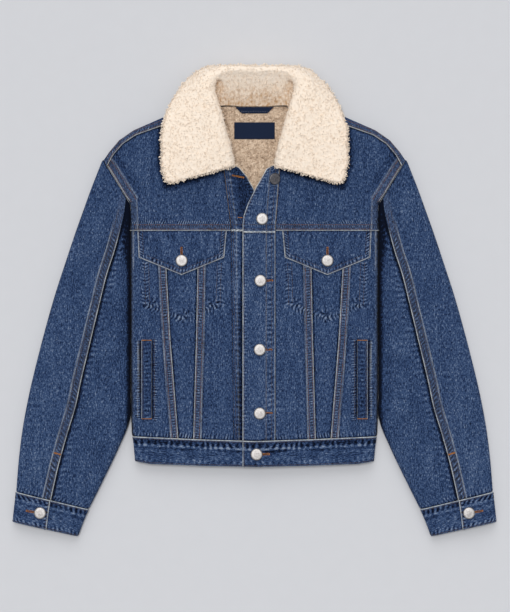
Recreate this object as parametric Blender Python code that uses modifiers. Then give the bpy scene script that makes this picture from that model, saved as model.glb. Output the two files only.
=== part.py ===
"""Denim trucker jacket with a sherpa collar and lining, laid out flat on its back.

Metres, +Z up. The jacket lies on z = 0 with its front up and its collar towards +Y. The wearer's
left side is at +X. Every cloth piece is a grid moved onto the laid-out form and given a wall by
Solidify: edges() and band() lay it out in plan, and front_height() and back_height() lift it.
"""
import math

import bpy
import numpy as np

# ---- driving sizes, in millimetres ----
MM = 0.001
GAP = 0.3                # clearance where two pieces are sewn together
SIDE_GAP = 1.1          # half of the clearance at a side seam, where the walls lean together
SEAM_GAP = 0.5           # half of the clearance at a curved seam
DENIM = 1.5              # wall of one layer of denim
FOLDED = 2.2             # wall of denim folded double: plackets, flaps, welts
BAND = 2.6               # wall of the waistband and the cuffs
SHERPA = 9.0             # wall of the lining, pile included
COLLAR_WALL = 6.5        # wall of the collar, pile included

FOLD_Z = 9.0             # height of the side folds above the surface
FOLD_R = 10.0            # how far in from a fold the cloth is rounded
BODY_H = 18.0            # height of the front at the sides
BODY_CROWN = 3.5         # how much higher it is along the middle
BODY_HALF = 198.0        # half of the chest, laid flat

YOKE_Y = 118.0           # seam between the front yokes and the lower fronts
BACK_YOKE_Y = 148.0      # seam between the back yoke and the back
WAIST_Y = -220.0         # seam between the fronts and the waistband, at mid panel
NECK_Y = 310.0           # back neck seam
NECK_LIP = 3.4           # seam allowance of the back yoke, turned up into the neck seam
OVERLAP_X = -19.0        # edge of the left front, which lies on the right one
UNDERLAP_X = 12.0        # edge of the right front beneath it

BUTTON_R = 9.5
BUTTON_H = 4.2
BUTTON_SIDES = 14

# side of the body: y, half width
BODY_SIDE = ((-266.0, 190.0), (-257.0, 191.5), (-218.0, 195.0), (-186.0, 196.5), (157.0, 198.0))
# armhole seam from the armpit to the shoulder: x, y
ARMHOLE = ((198.0, 157.0), (209.0, 173.0), (219.0, 190.0), (229.0, 206.4), (235.5, 216.5), (241.5, 226.0))
# fold along the shoulder, from the armhole to the neck, and the seam of the yoke on the front: x, y
SHOULDER_FOLD = ((241.5, 226.0), (233.0, 238.5), (217.0, 257.5), (194.0, 273.5), (146.0, 294.5),
                 (104.0, 309.5), (72.0, 320.0))
SHOULDER_SEAM = ((235.5, 216.5), (226.0, 234.0), (211.0, 251.5), (190.0, 265.5), (144.0, 281.5),
                 (101.0, 297.5), (72.0, 308.0))
# waistband: x, y of its top edge and y of its lower edge
WAISTBAND = ((0.0, -224.0, -265.5), (85.0, -221.5, -264.0), (167.0, -218.0, -261.0),
             (190.0, -217.0, -257.0))
# seams of the lower front: y, x of the seam towards the middle, x of the seam towards the side
V_SEAMS = ((YOKE_Y, 89.4, 142.5), (WAIST_Y - 5.0, 99.8, 123.3))
# sleeve: outer fold x, y; inner fold x, y; height; place of the seam from the inner fold to the outer one
SLEEVE = (
    (243.6, 226.4, 200.2, 156.4, 18.0, 0.12),
    (261.5, 181.0, 199.3, 139.0, 18.5, 0.13),
    (274.5, 145.0, 199.3, 110.0, 19.0, 0.19),
    (288.0, 107.0, 199.3, 70.0, 20.0, 0.27),
    (302.0, 65.0, 199.3, 25.0, 20.0, 0.36),
    (320.5, 8.0, 199.3, -35.0, 20.0, 0.42),
    (336.0, -47.0, 199.3, -95.0, 19.5, 0.47),
    (351.0, -105.0, 199.3, -150.0, 19.0, 0.51),
    (361.5, -150.0, 200.5, -192.0, 18.5, 0.53),
    (371.0, -200.0, 219.0, -238.0, 18.0, 0.535),
    (377.5, -250.0, 242.0, -286.0, 17.0, 0.53),
    (382.0, -305.0, 265.5, -333.0, 16.0, 0.515),
)
# cuff: outer corner x, y; inner corner x, y; place of its overlapping edge
CUFF = ((382.6, -305.7, 266.0, -333.8, 0.52), (385.5, -330.0, 274.8, -355.5, 0.50),
        (388.0, -354.0, 283.2, -377.2, 0.475))
CUFF_H = 16.0
# collar, front end to middle of the back: neck seam x, y, z; inner edge of the roll x, y; top of the
# roll z; outer edge x, y, z
COLLAR = (
    (37.0, 221.0, 22.0, 31.0, 222.0, 38.0, 140.0, 193.0, 31.0),
    (42.0, 239.0, 22.0, 35.0, 242.0, 42.0, 148.0, 222.0, 31.5),
    (50.0, 266.0, 22.0, 43.5, 270.0, 45.0, 149.0, 252.0, 31.5),
    (57.0, 288.0, 22.5, 51.0, 298.0, 46.5, 146.5, 282.0, 30.0),
    (61.0, 302.0, 24.0, 56.0, 318.0, 47.0, 138.5, 309.0, 23.0),
    (60.0, 309.0, 25.0, 59.0, 335.0, 46.5, 123.0, 334.0, 16.0),
    (52.0, 312.5, 20.0, 54.0, 347.0, 45.0, 100.0, 355.0, 11.0),
    (38.0, 313.0, 15.0, 40.0, 351.5, 43.5, 72.0, 371.0, 8.5),
    (19.0, 312.0, 13.5, 21.0, 352.5, 42.5, 36.0, 376.5, 7.5),
    (0.0, 312.0, 13.5, 0.0, 352.5, 42.0, 0.0, 377.0, 7.5),
)
ROLL_R = 12.0            # radius of the collar's roll
# pocket flap: x, y of its corners and its point
FLAP = {"top": 109.0, "low": 69.5, "point": 41.5, "inner": 44.5, "outer": 187.0,
        "in_low": 48.5, "out_low": 185.0}
FLAP_BUTTON = (116.5, 64.5)
WELT = {"inner": 164.0, "outer": 181.0, "top": -62.0, "low": -189.0}
FRONT_BUTTONS = ((12.2, 131.2), (9.4, 32.4), (8.3, -77.8), (8.4, -179.5), (3.3, -244.8))
NECK_BUTTON = (31.5, 195.5)
CUFF_BUTTON = (342.8, -339.0)
LINING_TOP = GAP + DENIM + SHERPA
ON_LINING = 0.4          # clearance above the pile
TAPE = 1.4               # wall of the hanger loop
LOOP = {"low_half": 21.5, "top_half": 31.0, "low_y": 299.5, "top_y": 306.5, "rise": 0.8}
LABEL = {"half": 32.0, "low": 260.0, "top": 286.0, "wall": 1.0}

MATERIALS = {
    "denim": ((0.041, 0.069, 0.136), 0.9, 0.0),
    "sherpa": ((0.84, 0.72, 0.58), 0.95, 0.0),
    "lining": ((0.58, 0.45, 0.32), 0.95, 0.0),
    "tape": ((0.012, 0.018, 0.045), 0.7, 0.0),
    "metal": ((0.80, 0.79, 0.77), 0.35, 1.0),
}


def clear_scene():
    for obj in list(bpy.data.objects):
        bpy.data.objects.remove(obj)


def material(name):
    found = bpy.data.materials.get(name)
    if found:
        return found
    color, roughness, metallic = MATERIALS[name]
    made = bpy.data.materials.new(name)
    made.use_nodes = True
    shader = made.node_tree.nodes["Principled BSDF"]
    shader.inputs["Base Color"].default_value = (*color, 1.0)
    shader.inputs["Roughness"].default_value = roughness
    shader.inputs["Metallic"].default_value = metallic
    return made


def keep(obj, name, cloth):
    """Names the object, gives it its material and puts it in the jacket's collection."""
    obj.name = name
    obj.data.name = name
    obj.data.materials.append(material(cloth))
    for home in list(obj.users_collection):
        home.objects.unlink(obj)
    bpy.data.collections["sherpa_lined_jacket"].objects.link(obj)
    return obj


# ---- plan curves ----

def along(points, t):
    """The point at t, from 0 to 1, of a line through the points, by length."""
    points = np.array(points, float)
    steps = np.hypot(*np.diff(points[:, :2], axis=0).T)
    at = np.concatenate(([0.0], np.cumsum(steps))) / steps.sum()
    return np.array([np.interp(t, at, column) for column in points.T])


def smooth_row(table, t):
    """A row of the table at t, from 0 to 1 over its rows, on a smooth curve through them."""
    rows = np.array(table, float)
    last = len(rows) - 1
    place = min(max(t, 0.0), 1.0) * last
    i = min(int(place), last - 1)
    f = place - i
    a, b = rows[i], rows[i + 1]
    before = rows[i - 1] if i > 0 else 2 * a - b
    after = rows[i + 2] if i + 2 <= last else 2 * b - a
    bend = (b - before) / 2 * f * (1 - f) ** 2 - (after - a) / 2 * f * f * (1 - f)
    return a + (b - a) * (f * f * (3 - 2 * f)) + bend


def lerp(a, b, t):
    return a + (b - a) * t


def edges(left, right, low, top):
    """Plan point (u, v) of a panel between four edges, each a list of points."""
    def place(u, v):
        sides = lerp(along(left, v), along(right, v), u)
        ends = lerp(along(low, u), along(top, u), v)
        low_ends = lerp(along(left, 0), along(right, 0), u)
        top_ends = lerp(along(left, 1), along(right, 1), u)
        corners = lerp(low_ends, top_ends, v)
        return sides + ends - corners
    return place


def band(inner, outer, low, top):
    """Plan point (u, v) of a panel between two lines x(y), from low to top."""
    def place(u, v):
        y = lerp(low, top, v)
        return np.array([lerp(inner(y), outer(y), u), y])
    return place


def half_width(y):
    return float(np.interp(y, *np.array(BODY_SIDE).T))


def distance(point, line):
    """Distance from a plan point to a line of points."""
    best = 1e9
    for a, b in zip(line[:-1], line[1:]):
        a, b = np.array(a, float), np.array(b, float)
        t = np.clip(np.dot(point - a, b - a) / np.dot(b - a, b - a), 0.0, 1.0)
        best = min(best, float(np.linalg.norm(point - lerp(a, b, t))))
    return best


def fold_distance(x, y):
    """How far a point of the body is from its side fold and its shoulder fold."""
    point = np.array([abs(x), y])
    armpit = np.array(ARMHOLE[0])
    side = half_width(y) - abs(x) if y < armpit[1] else float(np.linalg.norm(point - armpit))
    return max(0.0, min(side, distance(point, SHOULDER_FOLD)))


def rounding(d):
    """From 0 on a fold to 1 at FOLD_R from it, on a quarter of a circle."""
    t = min(d / FOLD_R, 1.0)
    return math.sqrt(1.0 - (1.0 - t) ** 2)


def front_height(x, y):
    """Height of the front's outer face."""
    high = BODY_H + BODY_CROWN * (1.0 - min(abs(x) / BODY_HALF, 1.0) ** 2)
    return lerp(FOLD_Z + SIDE_GAP, high, rounding(fold_distance(x, y)))


def back_height(x, y):
    """Height of the back's outer face: flat where it rests."""
    return (FOLD_Z - SIDE_GAP) * (1.0 - rounding(fold_distance(x, y)))


# places of the columns that follow a fold, as distances from it
FOLD_STOPS = tuple(FOLD_R * (1.0 - math.cos(math.radians(a))) for a in (0, 32, 62, 90))


# ---- making a piece ----

def cloth(name, place, columns, rows, wall, kind="denim", outward=True):
    """A grid primitive moved onto place(u, v), in millimetres, with a wall inside its outer face."""
    across, up = len(columns) - 1, len(rows) - 1
    bpy.ops.mesh.primitive_grid_add(x_subdivisions=across, y_subdivisions=up, size=1.0)
    obj = bpy.context.object
    for vertex in obj.data.vertices:
        u = columns[round((vertex.co.x + 0.5) * across)]
        v = rows[round((vertex.co.y + 0.5) * up)]
        vertex.co = [c * MM for c in place(u, v)]
    solid = obj.modifiers.new("wall", "SOLIDIFY")
    solid.thickness = wall * MM
    solid.offset = -1.0 if outward else 1.0
    return keep(obj, name, kind)


def even(count, low=0.0, top=1.0):
    return list(np.linspace(low, top, count + 1))


def mirrored(place):
    """The same piece on the other side of the body: u runs the other way, so its face stays up."""
    def other(u, v):
        x, y, z = place(1.0 - u, v)
        return (-x, y, z)
    return other


def on_front(plan, lift=lambda x, y: 0.0):
    """Lifts a plan of (u, v) onto the front."""
    def place(u, v):
        x, y = plan(u, v)
        return (x, y, front_height(x, y) + lift(x, y))
    return place


def pair(name, place, columns, rows, wall):
    """A left piece and its mirror image on the right."""
    cloth(name + "_left", place, columns, rows, wall)
    cloth(name + "_right", mirrored(place), [1.0 - c for c in reversed(columns)], rows, wall)


def seam_x(y, column):
    table = sorted(V_SEAMS)
    return float(np.interp(y, [row[0] for row in table], [row[column] for row in table]))


def waist(x, column):
    return float(np.interp(abs(x), [row[0] for row in WAISTBAND], [row[column] for row in WAISTBAND]))


# ---- fronts ----

def placket_inner(side):
    """Edge between a placket and its front, from the waist to the neck. The left one is at +X."""
    if side == "left":
        return ((33.0, WAIST_Y), (33.0, YOKE_Y), (40.0, 217.0))
    return ((33.0, WAIST_Y), (37.0, YOKE_Y), (49.0, 217.0))


def edge_x(line, y):
    return float(np.interp(y, [p[1] for p in line], [p[0] for p in line]))


def add_front_yokes():
    right_edge = ((197.6, YOKE_Y + GAP),) + ARMHOLE[:4] + ((235.0, 215.5),)
    for side in ("left", "right"):
        line = placket_inner(side)
        foot = edge_x(line, YOKE_Y)
        neck = line[-1][0] + 2 * SEAM_GAP
        left_edge = ((foot + 2 * SEAM_GAP, YOKE_Y + GAP), (neck, 217.0),
                     (54.0, 262.0), (62.0, 288.0), (71.0, 307.0))
        low = ((foot + SEAM_GAP, YOKE_Y + GAP), (197.6, YOKE_Y + GAP))
        top = tuple((x - 2 * SEAM_GAP, y - 2 * SEAM_GAP) for x, y in reversed(SHOULDER_SEAM))
        place = on_front(edges(left_edge, right_edge, low, top))
        stops = even(6, 0.0, 0.9) + [0.96, 0.992, 1.0]
        rows = even(9)
        if side == "left":
            cloth("front_yoke_left", place, stops, rows, DENIM)
        else:
            cloth("front_yoke_right", mirrored(place), [1.0 - s for s in reversed(stops)], rows, DENIM)


def waist_line(x):
    """Lower edge of what is sewn to the waistband."""
    return waist(x, 1) + 2 * GAP


def lower_front(inner, outer):
    """A lower front panel between two lines x(y): its lower edge follows the waistband."""
    def place(u, v):
        x = lerp(inner(WAIST_Y), outer(WAIST_Y), u)
        y = lerp(waist_line(x), YOKE_Y - GAP, v)
        return np.array([lerp(inner(y), outer(y), u), y])
    return on_front(place)


def add_lower_fronts():
    rows = even(7)
    for side in ("left", "right"):
        line = placket_inner(side)
        place = lower_front(lambda y: edge_x(line, y) + SEAM_GAP, lambda y: seam_x(y, 1) - GAP / 2)
        if side == "left":
            cloth("front_center_left", place, even(3), rows, DENIM)
        else:
            cloth("front_center_right", mirrored(place), even(3), rows, DENIM)
    pair("front_middle", lower_front(lambda y: seam_x(y, 1) + GAP / 2, lambda y: seam_x(y, 2) - GAP / 2),
         even(3), rows, DENIM)
    width = half_width(0.0) - seam_x(0.0, 2)
    stops = [0.0, 0.4] + [1.0 - d / width for d in reversed(FOLD_STOPS)]
    pair("front_side", lower_front(lambda y: seam_x(y, 2) + GAP / 2, half_width), stops, rows, DENIM)


def overlap_lift(high, low, start, end):
    """Lift of a piece that lies on its neighbour up to start and is sewn flat again at end."""
    def lift(x, y):
        t = np.clip((x - start) / (end - start), 0.0, 1.0)
        return lerp(high, low, t * t * (3 - 2 * t))
    return lift


def add_plackets():
    """The left placket lies on the right one; its edge turns away at the neck."""
    rows = even(8, 0.0, 0.774) + [0.83, 0.87, 0.91, 0.94, 0.97, 1.0]
    edge = ((OVERLAP_X, waist_line(OVERLAP_X)), (OVERLAP_X, 122.0), (-17.5, 136.0), (-10.5, 156.0),
            (2.6, 182.0), (12.0, 198.0), (19.0, 211.0), (30.0, 217.0))
    inner = ((33.0, waist_line(33.0)),) + placket_inner("left")[1:]
    place = on_front(edges(edge, inner, (edge[0], inner[0]), (edge[-1], inner[-1])),
                     overlap_lift(FOLDED + 2 * GAP, 0.2, 15.0, 33.0))
    cloth("placket_left", place, [0.0, 0.3, 0.62, 0.8, 1.0], rows, FOLDED)
    edge = ((UNDERLAP_X, waist_line(UNDERLAP_X)), (UNDERLAP_X, 150.0), (-2.0, 181.0), (-13.0, 200.0),
            (-24.0, 213.0), (-34.0, 217.5))
    inner = tuple((-x, y) for x, y in ((33.0, waist_line(33.0)),) + placket_inner("right")[1:])
    place = on_front(edges(inner, edge, (inner[0], edge[0]), (inner[-1], edge[-1])))
    cloth("placket_right", place, even(3), rows, FOLDED)


def add_waistband():
    """Two front bands, the left one on the right one, and a back band between the side seams."""
    def front(inner, lift):
        def place(u, v):
            x = lerp(inner, half_width(WAIST_Y - 20.0), u)
            side = half_width(lerp(waist(x, 2), waist(x, 1), v))
            x = lerp(inner, side, u)
            y = lerp(waist(x, 2), waist(x, 1), v)
            return (x, y, front_height(x, y) + lift(x, y) * rounding(fold_distance(x, y)))
        return place
    width = half_width(WAIST_Y - 20.0) - OVERLAP_X
    stops = even(7, 0.0, 1.0 - 20.0 / width) + [1.0 - d / width for d in reversed(FOLD_STOPS)]
    rows = [0.0, 0.5, 1.0]
    left = front(OVERLAP_X, overlap_lift(BAND + 1.0, 0.5, 20.0, 70.0))
    cloth("waistband_left", left, stops, rows, BAND)
    right = mirrored(front(-UNDERLAP_X, lambda x, y: 0.5))
    cloth("waistband_right", right, [1.0 - s for s in reversed(stops)], rows, BAND)

    def back(u, v):
        side = half_width(lerp(-257.0, -217.0, v))
        x = u * side
        y = lerp(waist(x, 2) + 1.0, waist(x, 1), v)
        return (x, y, back_height(x, y))
    width = half_width(WAIST_Y - 20.0)
    half = [0.0, 0.45] + [1.0 - d / width for d in reversed(FOLD_STOPS)]
    stops = [-s for s in reversed(half[1:])] + half
    cloth("waistband_back", back, stops, [0.0, 0.5, 1.0], BAND, outward=False)


# ---- back ----

def add_back():
    def place(u, v):
        x = u * half_width(0.0)
        y = lerp(waist_line(x), BACK_YOKE_Y - GAP, v)
        x = u * half_width(y)
        return (x, y, back_height(x, y))
    width = half_width(0.0)
    half = [0.0, 0.5] + [1.0 - d / width for d in reversed(FOLD_STOPS)]
    stops = [-s for s in reversed(half[1:])] + half
    cloth("back_panel", place, stops, even(4), DENIM, outward=False)


def add_back_yoke():
    """It lies under the shoulders, turns over their fold and shows along the front yokes.
    u runs from the right armhole (-1) to the left one (1), v from the seam of the back (0) to the
    fold (1) and on to the seam on the front (2)."""
    neck = ((56.0, 311.0), (30.0, NECK_Y), (0.0, NECK_Y))
    fold_line = tuple(reversed(SHOULDER_FOLD + neck))
    under = edges(((0.0, BACK_YOKE_Y), (0.0, NECK_Y)), ((half_width(BACK_YOKE_Y), BACK_YOKE_Y),) + ARMHOLE,
                  ((0.0, BACK_YOKE_Y), (half_width(BACK_YOKE_Y), BACK_YOKE_Y)), fold_line)
    seam_line = tuple(reversed(SHOULDER_SEAM + neck))

    def place(u, v):
        side = 1.0 if u >= 0 else -1.0
        fold = along(fold_line, abs(u))
        at_neck = float(np.clip((72.0 - fold[0]) / 16.0, 0.0, 1.0))
        if v <= 1.0:
            x, y = under(abs(u), v)
            d = min(float(np.linalg.norm(fold - (x, y))), fold_distance(x, y))
            return (side * x, y, FOLD_Z * (1.0 - rounding(d)) * (1.0 - at_neck))
        seam = along(seam_line, abs(u))
        x, y = lerp(fold, seam, v - 1.0)
        return (side * x, y, lerp(front_height(x, y), NECK_LIP * (v - 1.0) ** 0.6, at_neck))
    half = [0.0, 0.108, 0.2017, 0.267, 0.34, 0.43, 0.52, 0.62, 0.72, 0.82, 0.91, 0.95, 0.974, 0.993, 1.0]
    columns = [-s for s in reversed(half[1:])] + half
    rows = [0.0, 0.1, 0.22, 0.5, 0.93, 0.965, 0.99, 1.0, 1.35, 2.0]
    cloth("back_yoke", place, columns, rows, DENIM, outward=False)


def add_back_lining():
    """Sherpa on the inside of the back: it shows in the neck."""
    right = ((178.0, -212.0), (184.0, -180.0), (184.0, 150.0), (199.0, 178.0), (209.0, 194.0),
             (213.0, 202.0))
    left = ((0.0, -212.0), (0.0, 307.0))
    top = ((0.0, 307.0), (48.0, 307.0), (64.0, 299.0), (144.0, 276.0), (186.0, 256.0),
           (203.0, 236.0), (213.0, 202.0))
    plan = edges(left, right, ((0.0, -212.0), (178.0, -212.0)), top)

    def place(u, v):
        x, y = plan(abs(u), v)
        return (math.copysign(x, u), y, LINING_TOP)
    columns = even(10, -1.0, 1.0)
    cloth("back_lining", place, columns, even(7), SHERPA, "lining")


# ---- sleeves and cuffs ----

def tube_point(row, side, f, lift=0.0):
    """A point of a flattened tube. row is outer x, y, inner x, y and height; side is 'top' or
    'under'; f runs from the inner fold (0) to the outer one (1)."""
    ox, oy, ix, iy, high = row[:5]
    width = math.hypot(ox - ix, oy - iy)
    d = min(f, 1.0 - f) * width
    if side == "top":
        z = lerp(FOLD_Z, high, rounding(d)) + lift
    else:
        z = FOLD_Z * (1.0 - rounding(d))
    return (lerp(ix, ox, f), lerp(iy, oy, f), z)


def share(row, d):
    """A distance as a share of the flattened tube's width."""
    return d / math.hypot(row[0] - row[2], row[1] - row[3])


def fold_shares(row):
    """The fold's columns as shares of the tube's width."""
    return [share(row, d) for d in FOLD_STOPS]


def sleeve_over(u, v):
    """Outer piece: from the seam on top, round the outer fold, to the seam beneath."""
    row = smooth_row(SLEEVE, v)
    stops = fold_shares(row)
    seam, split = row[5] + share(row, SEAM_GAP), 0.3
    path = [("top", f) for f in np.linspace(seam, 1.0 - stops[3], 5)]
    path += [("top", 1.0 - s) for s in (stops[2], stops[1], 0.0)]
    path += [("under", 1.0 - s) for s in stops[1:]]
    path += [("under", f) for f in (0.6, split)]
    side, f = path[int(round(u * (len(path) - 1)))]
    return tube_point(row, side, f)


def sleeve_under(u, v):
    """Inner piece: from the seam beneath, round the inner fold, to the seam on top."""
    row = smooth_row(SLEEVE, v)
    stops = fold_shares(row)
    seam, split = row[5] - share(row, SEAM_GAP), 0.3 - share(row, SEAM_GAP)
    first = min(stops[3], seam * 0.8)
    path = [("under", split)] + [("under", s) for s in reversed(stops[1:])] + [("top", 0.0)]
    path += [("top", first * s / stops[3]) for s in stops[1:]]
    path += [("top", f) for f in np.linspace(first, seam, 4)[1:]]
    side, f = path[int(round(u * (len(path) - 1)))]
    return tube_point(row, side, f)


def add_sleeves():
    rows = even(13)
    for name, piece, count in (("sleeve_outer", sleeve_over, 12), ("sleeve_inner", sleeve_under, 10)):
        cloth(name + "_left", piece, even(count), rows, DENIM, outward=False)
        cloth(name + "_right", mirrored(piece), even(count), rows, DENIM, outward=False)


def cuff(u, v):
    """One strip wound round the wrist: it starts under its own buttonhole end."""
    row = smooth_row(CUFF, v)
    edge = row[4]
    row = (*row[:4], CUFF_H)
    stops = fold_shares(row)
    path = [("top", edge + 0.15, 0.0)] + [("top", f, 0.0) for f in (0.5, 0.36, 0.22, stops[3])]
    path += [("top", s, 0.0) for s in (stops[2], stops[1], 0.0)]
    path += [("under", s, 0.0) for s in stops[1:]] + [("under", f, 0.0) for f in (0.4, 0.7)]
    path += [("under", 1.0 - s, 0.0) for s in reversed(stops[1:])] + [("top", 1.0, 0.0)]
    path += [("top", 1.0 - stops[1], 0.3), ("top", 1.0 - stops[2], 0.8), ("top", 1.0 - stops[3], 1.5)]
    path += [("top", 0.8, 2.6), ("top", 0.7, BAND + GAP), ("top", edge, BAND + GAP)]
    side, f, lift = path[int(round(u * (len(path) - 1)))]
    return tube_point(row, side, f, lift)


def add_cuffs():
    rows = even(3)
    count = 22
    cloth("cuff_left", cuff, even(count), rows, BAND)
    cloth("cuff_right", mirrored(cuff), even(count), rows, BAND)


# ---- what lies on the fronts ----

def add_flaps():
    """Pointed flap over each chest pocket, hung from the yoke seam."""
    low = ((FLAP["in_low"], FLAP["low"]), (FLAP_BUTTON[0], FLAP["point"]), (FLAP["out_low"], FLAP["low"]))
    top = ((FLAP["inner"], FLAP["top"]), (FLAP["outer"], FLAP["top"]))
    plan = edges((low[0], top[0]), (low[2], top[1]), low, top)
    pair("pocket_flap", on_front(plan, lambda x, y: FOLDED + 2 * GAP), even(8), even(3), FOLDED)


def add_welts():
    plan = band(lambda y: WELT["inner"], lambda y: WELT["outer"], WELT["low"], WELT["top"])
    pair("pocket_welt", on_front(plan, lambda x, y: FOLDED + 2 * GAP), even(2), even(5), FOLDED)


def button(name, x, y, z):
    """Shank button: a turned cap on a short post."""
    profile = ((0.0, BUTTON_H), (0.82, BUTTON_H - 0.2), (1.0, BUTTON_H - 1.2), (0.93, BUTTON_H - 2.2),
               (0.42, BUTTON_H - 2.5), (0.42, 0.0), (0.0, 0.0))
    mesh = bpy.data.meshes.new(name)
    points = [(r * BUTTON_R * MM, 0.0, h * MM) for r, h in profile]
    mesh.from_pydata(points, [(i, i + 1) for i in range(len(points) - 1)], [])
    obj = bpy.data.objects.new(name, mesh)
    bpy.context.scene.collection.objects.link(obj)
    turn = obj.modifiers.new("turn", "SCREW")
    turn.axis = "Z"
    turn.steps = BUTTON_SIDES
    turn.render_steps = BUTTON_SIDES
    turn.use_merge_vertices = True
    turn.merge_threshold = 0.00001
    turn.use_smooth_shade = True
    obj.location = (x * MM, y * MM, z * MM)
    return keep(obj, name, "metal")


def add_buttons():
    on_placket = FOLDED + 3 * GAP
    for i, (x, y) in enumerate(FRONT_BUTTONS[:4]):
        button(f"front_button_{i + 1}", x, y, front_height(x, y) + on_placket)
    x, y = FRONT_BUTTONS[4]
    button("waistband_button", x, y, front_height(x, y) + BAND + 1.0 + GAP)
    x, y = NECK_BUTTON
    button("neck_button", x, y, front_height(x, y) + 1.2)
    for side, s in (("left", 1.0), ("right", -1.0)):
        x, y = FLAP_BUTTON
        button("flap_button_" + side, s * x, y, front_height(x, y) + on_placket)
        x, y = CUFF_BUTTON
        button("cuff_button_" + side, s * x, y, CUFF_H + BAND + 2 * GAP)


# ---- collar and what is sewn inside the neck ----

def collar(u, v):
    """Outer face of the collar. u runs from the right front end (-1) round the back (0) to the left
    one (1); v from the neck seam (0), up the stand, over the roll and down to the edge (1)."""
    row = smooth_row(COLLAR, 1.0 - abs(u))
    seam = np.array(row[:3])
    roll = np.array([row[3], row[4], row[5]])
    edge = np.array(row[6:9])
    flat = np.array([edge[0] - roll[0], edge[1] - roll[1], 0.0])
    out = flat / np.linalg.norm(flat)
    up = np.array([0.0, 0.0, 1.0])
    if abs(u) < 0.24:
        out = lerp(np.array([0.0, 1.0, 0.0]), out, (abs(u) / 0.24) ** 2)
        out = out / np.linalg.norm(out)
    lean = min(ROLL_R, np.linalg.norm(flat) * 0.45)
    if v <= 0.3:
        point = lerp(seam, roll - up * ROLL_R, v / 0.3)
    elif v < 0.5:
        turn = (v - 0.3) / 0.2 * math.pi / 2
        point = roll + out * lean * (1 - math.cos(turn)) - up * ROLL_R * (1 - math.sin(turn))
    else:
        t = (v - 0.5) / 0.5
        start = roll + out * lean
        span = np.linalg.norm(edge - start)
        first = start + out * span * 0.35
        second = edge + up * (roll[2] - edge[2]) * 0.5 - out * span * 0.22
        near = lerp(lerp(start, first, t), lerp(first, second, t), t)
        far = lerp(lerp(first, second, t), lerp(second, edge, t), t)
        point = lerp(near, far, t)
    return (math.copysign(point[0], u), point[1], point[2])


def add_collar():
    columns = even(32, -1.0, 1.0)
    rows = [0.0, 0.3, 0.367, 0.433, 0.5, 0.6, 0.7, 0.8, 0.9, 1.0]
    cloth("collar", collar, columns, rows, COLLAR_WALL, "sherpa")


def add_hanger_loop():
    """Tape sewn into the neck seam at both ends: wider and higher along that seam."""
    def place(u, v):
        half = lerp(LOOP["low_half"], LOOP["top_half"], v)
        y = lerp(LOOP["low_y"], LOOP["top_y"], v)
        return (lerp(-half, half, u), y, LINING_TOP + ON_LINING + TAPE + LOOP["rise"] * v)
    cloth("hanger_loop", place, even(4), [0.0, 0.5, 1.0], TAPE, "tape")


def add_neck_label():
    """Woven label, bare."""
    def place(u, v):
        x = lerp(-LABEL["half"], LABEL["half"], u)
        return (x, lerp(LABEL["low"], LABEL["top"], v), LINING_TOP + ON_LINING + LABEL["wall"])
    cloth("neck_label", place, even(2), [0.0, 1.0], LABEL["wall"], "tape")


def build():
    clear_scene()
    home = bpy.data.collections.new("sherpa_lined_jacket")
    bpy.context.scene.collection.children.link(home)
    add_back()
    add_back_yoke()
    add_back_lining()
    add_front_yokes()
    add_lower_fronts()
    add_plackets()
    add_waistband()
    add_sleeves()
    add_cuffs()
    add_flaps()
    add_welts()
    add_collar()
    add_hanger_loop()
    add_neck_label()
    add_buttons()


build()
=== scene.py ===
"""Denim trucker jacket with a sherpa collar and lining, laid out flat on its back with its front up.

Metres, +Z up: the wearer's left side is at +X and the collar is towards +Y. Plans and tables are in
millimetres, and each piece is turned into metres as it is sewn.
"""
import itertools
import math

import bpy
import numpy as np
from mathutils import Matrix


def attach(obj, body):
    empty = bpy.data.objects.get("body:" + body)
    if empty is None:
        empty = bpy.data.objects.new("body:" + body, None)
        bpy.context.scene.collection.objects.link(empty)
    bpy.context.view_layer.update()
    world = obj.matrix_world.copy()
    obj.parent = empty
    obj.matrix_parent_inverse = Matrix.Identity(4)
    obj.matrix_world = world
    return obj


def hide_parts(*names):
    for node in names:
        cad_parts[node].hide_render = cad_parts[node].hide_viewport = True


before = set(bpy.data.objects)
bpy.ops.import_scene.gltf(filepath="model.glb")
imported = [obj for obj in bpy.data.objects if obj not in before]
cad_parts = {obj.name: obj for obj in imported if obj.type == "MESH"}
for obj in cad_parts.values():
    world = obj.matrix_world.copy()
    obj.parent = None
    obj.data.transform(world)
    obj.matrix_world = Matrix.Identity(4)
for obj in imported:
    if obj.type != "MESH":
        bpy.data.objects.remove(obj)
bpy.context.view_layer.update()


# ---- the table, the lamps and the camera ----
# The jacket lies on a pale matt table and is seen from straight above. A lamp hangs over it and a wide
# soft one stands past the collar, so the lower edges cast a faint shadow. The pale room fills in.

def new_object(name, data):
    obj = bpy.data.objects.new(name, data)
    bpy.context.scene.collection.objects.link(obj)
    return obj


camera = new_object("camera", bpy.data.cameras.new("camera"))
camera.location = (0.0008, -0.008, 4.018)
camera.data.lens = 147.1
camera.data.sensor_width = 36.0
bpy.context.scene.camera = camera

room = bpy.data.worlds.new("room")
room.use_nodes = True
room.node_tree.nodes["Background"].inputs["Color"].default_value = (0.93, 0.95, 1.0, 1.0)
room.node_tree.nodes["Background"].inputs["Strength"].default_value = 0.40
bpy.context.scene.world = room
bpy.context.scene.view_settings.view_transform = "Standard"

LAMPS = (("lamp_above", 1.62, 18.0, -8.0), ("lamp_past_collar", 0.95, 50.0, -50.0))
for name, energy, width, tilt in LAMPS:
    lamp = new_object(name, bpy.data.lights.new(name, "SUN"))
    lamp.data.energy = energy
    lamp.data.angle = math.radians(width)
    lamp.rotation_euler = (math.radians(tilt), math.radians(-4.0), 0.0)


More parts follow.
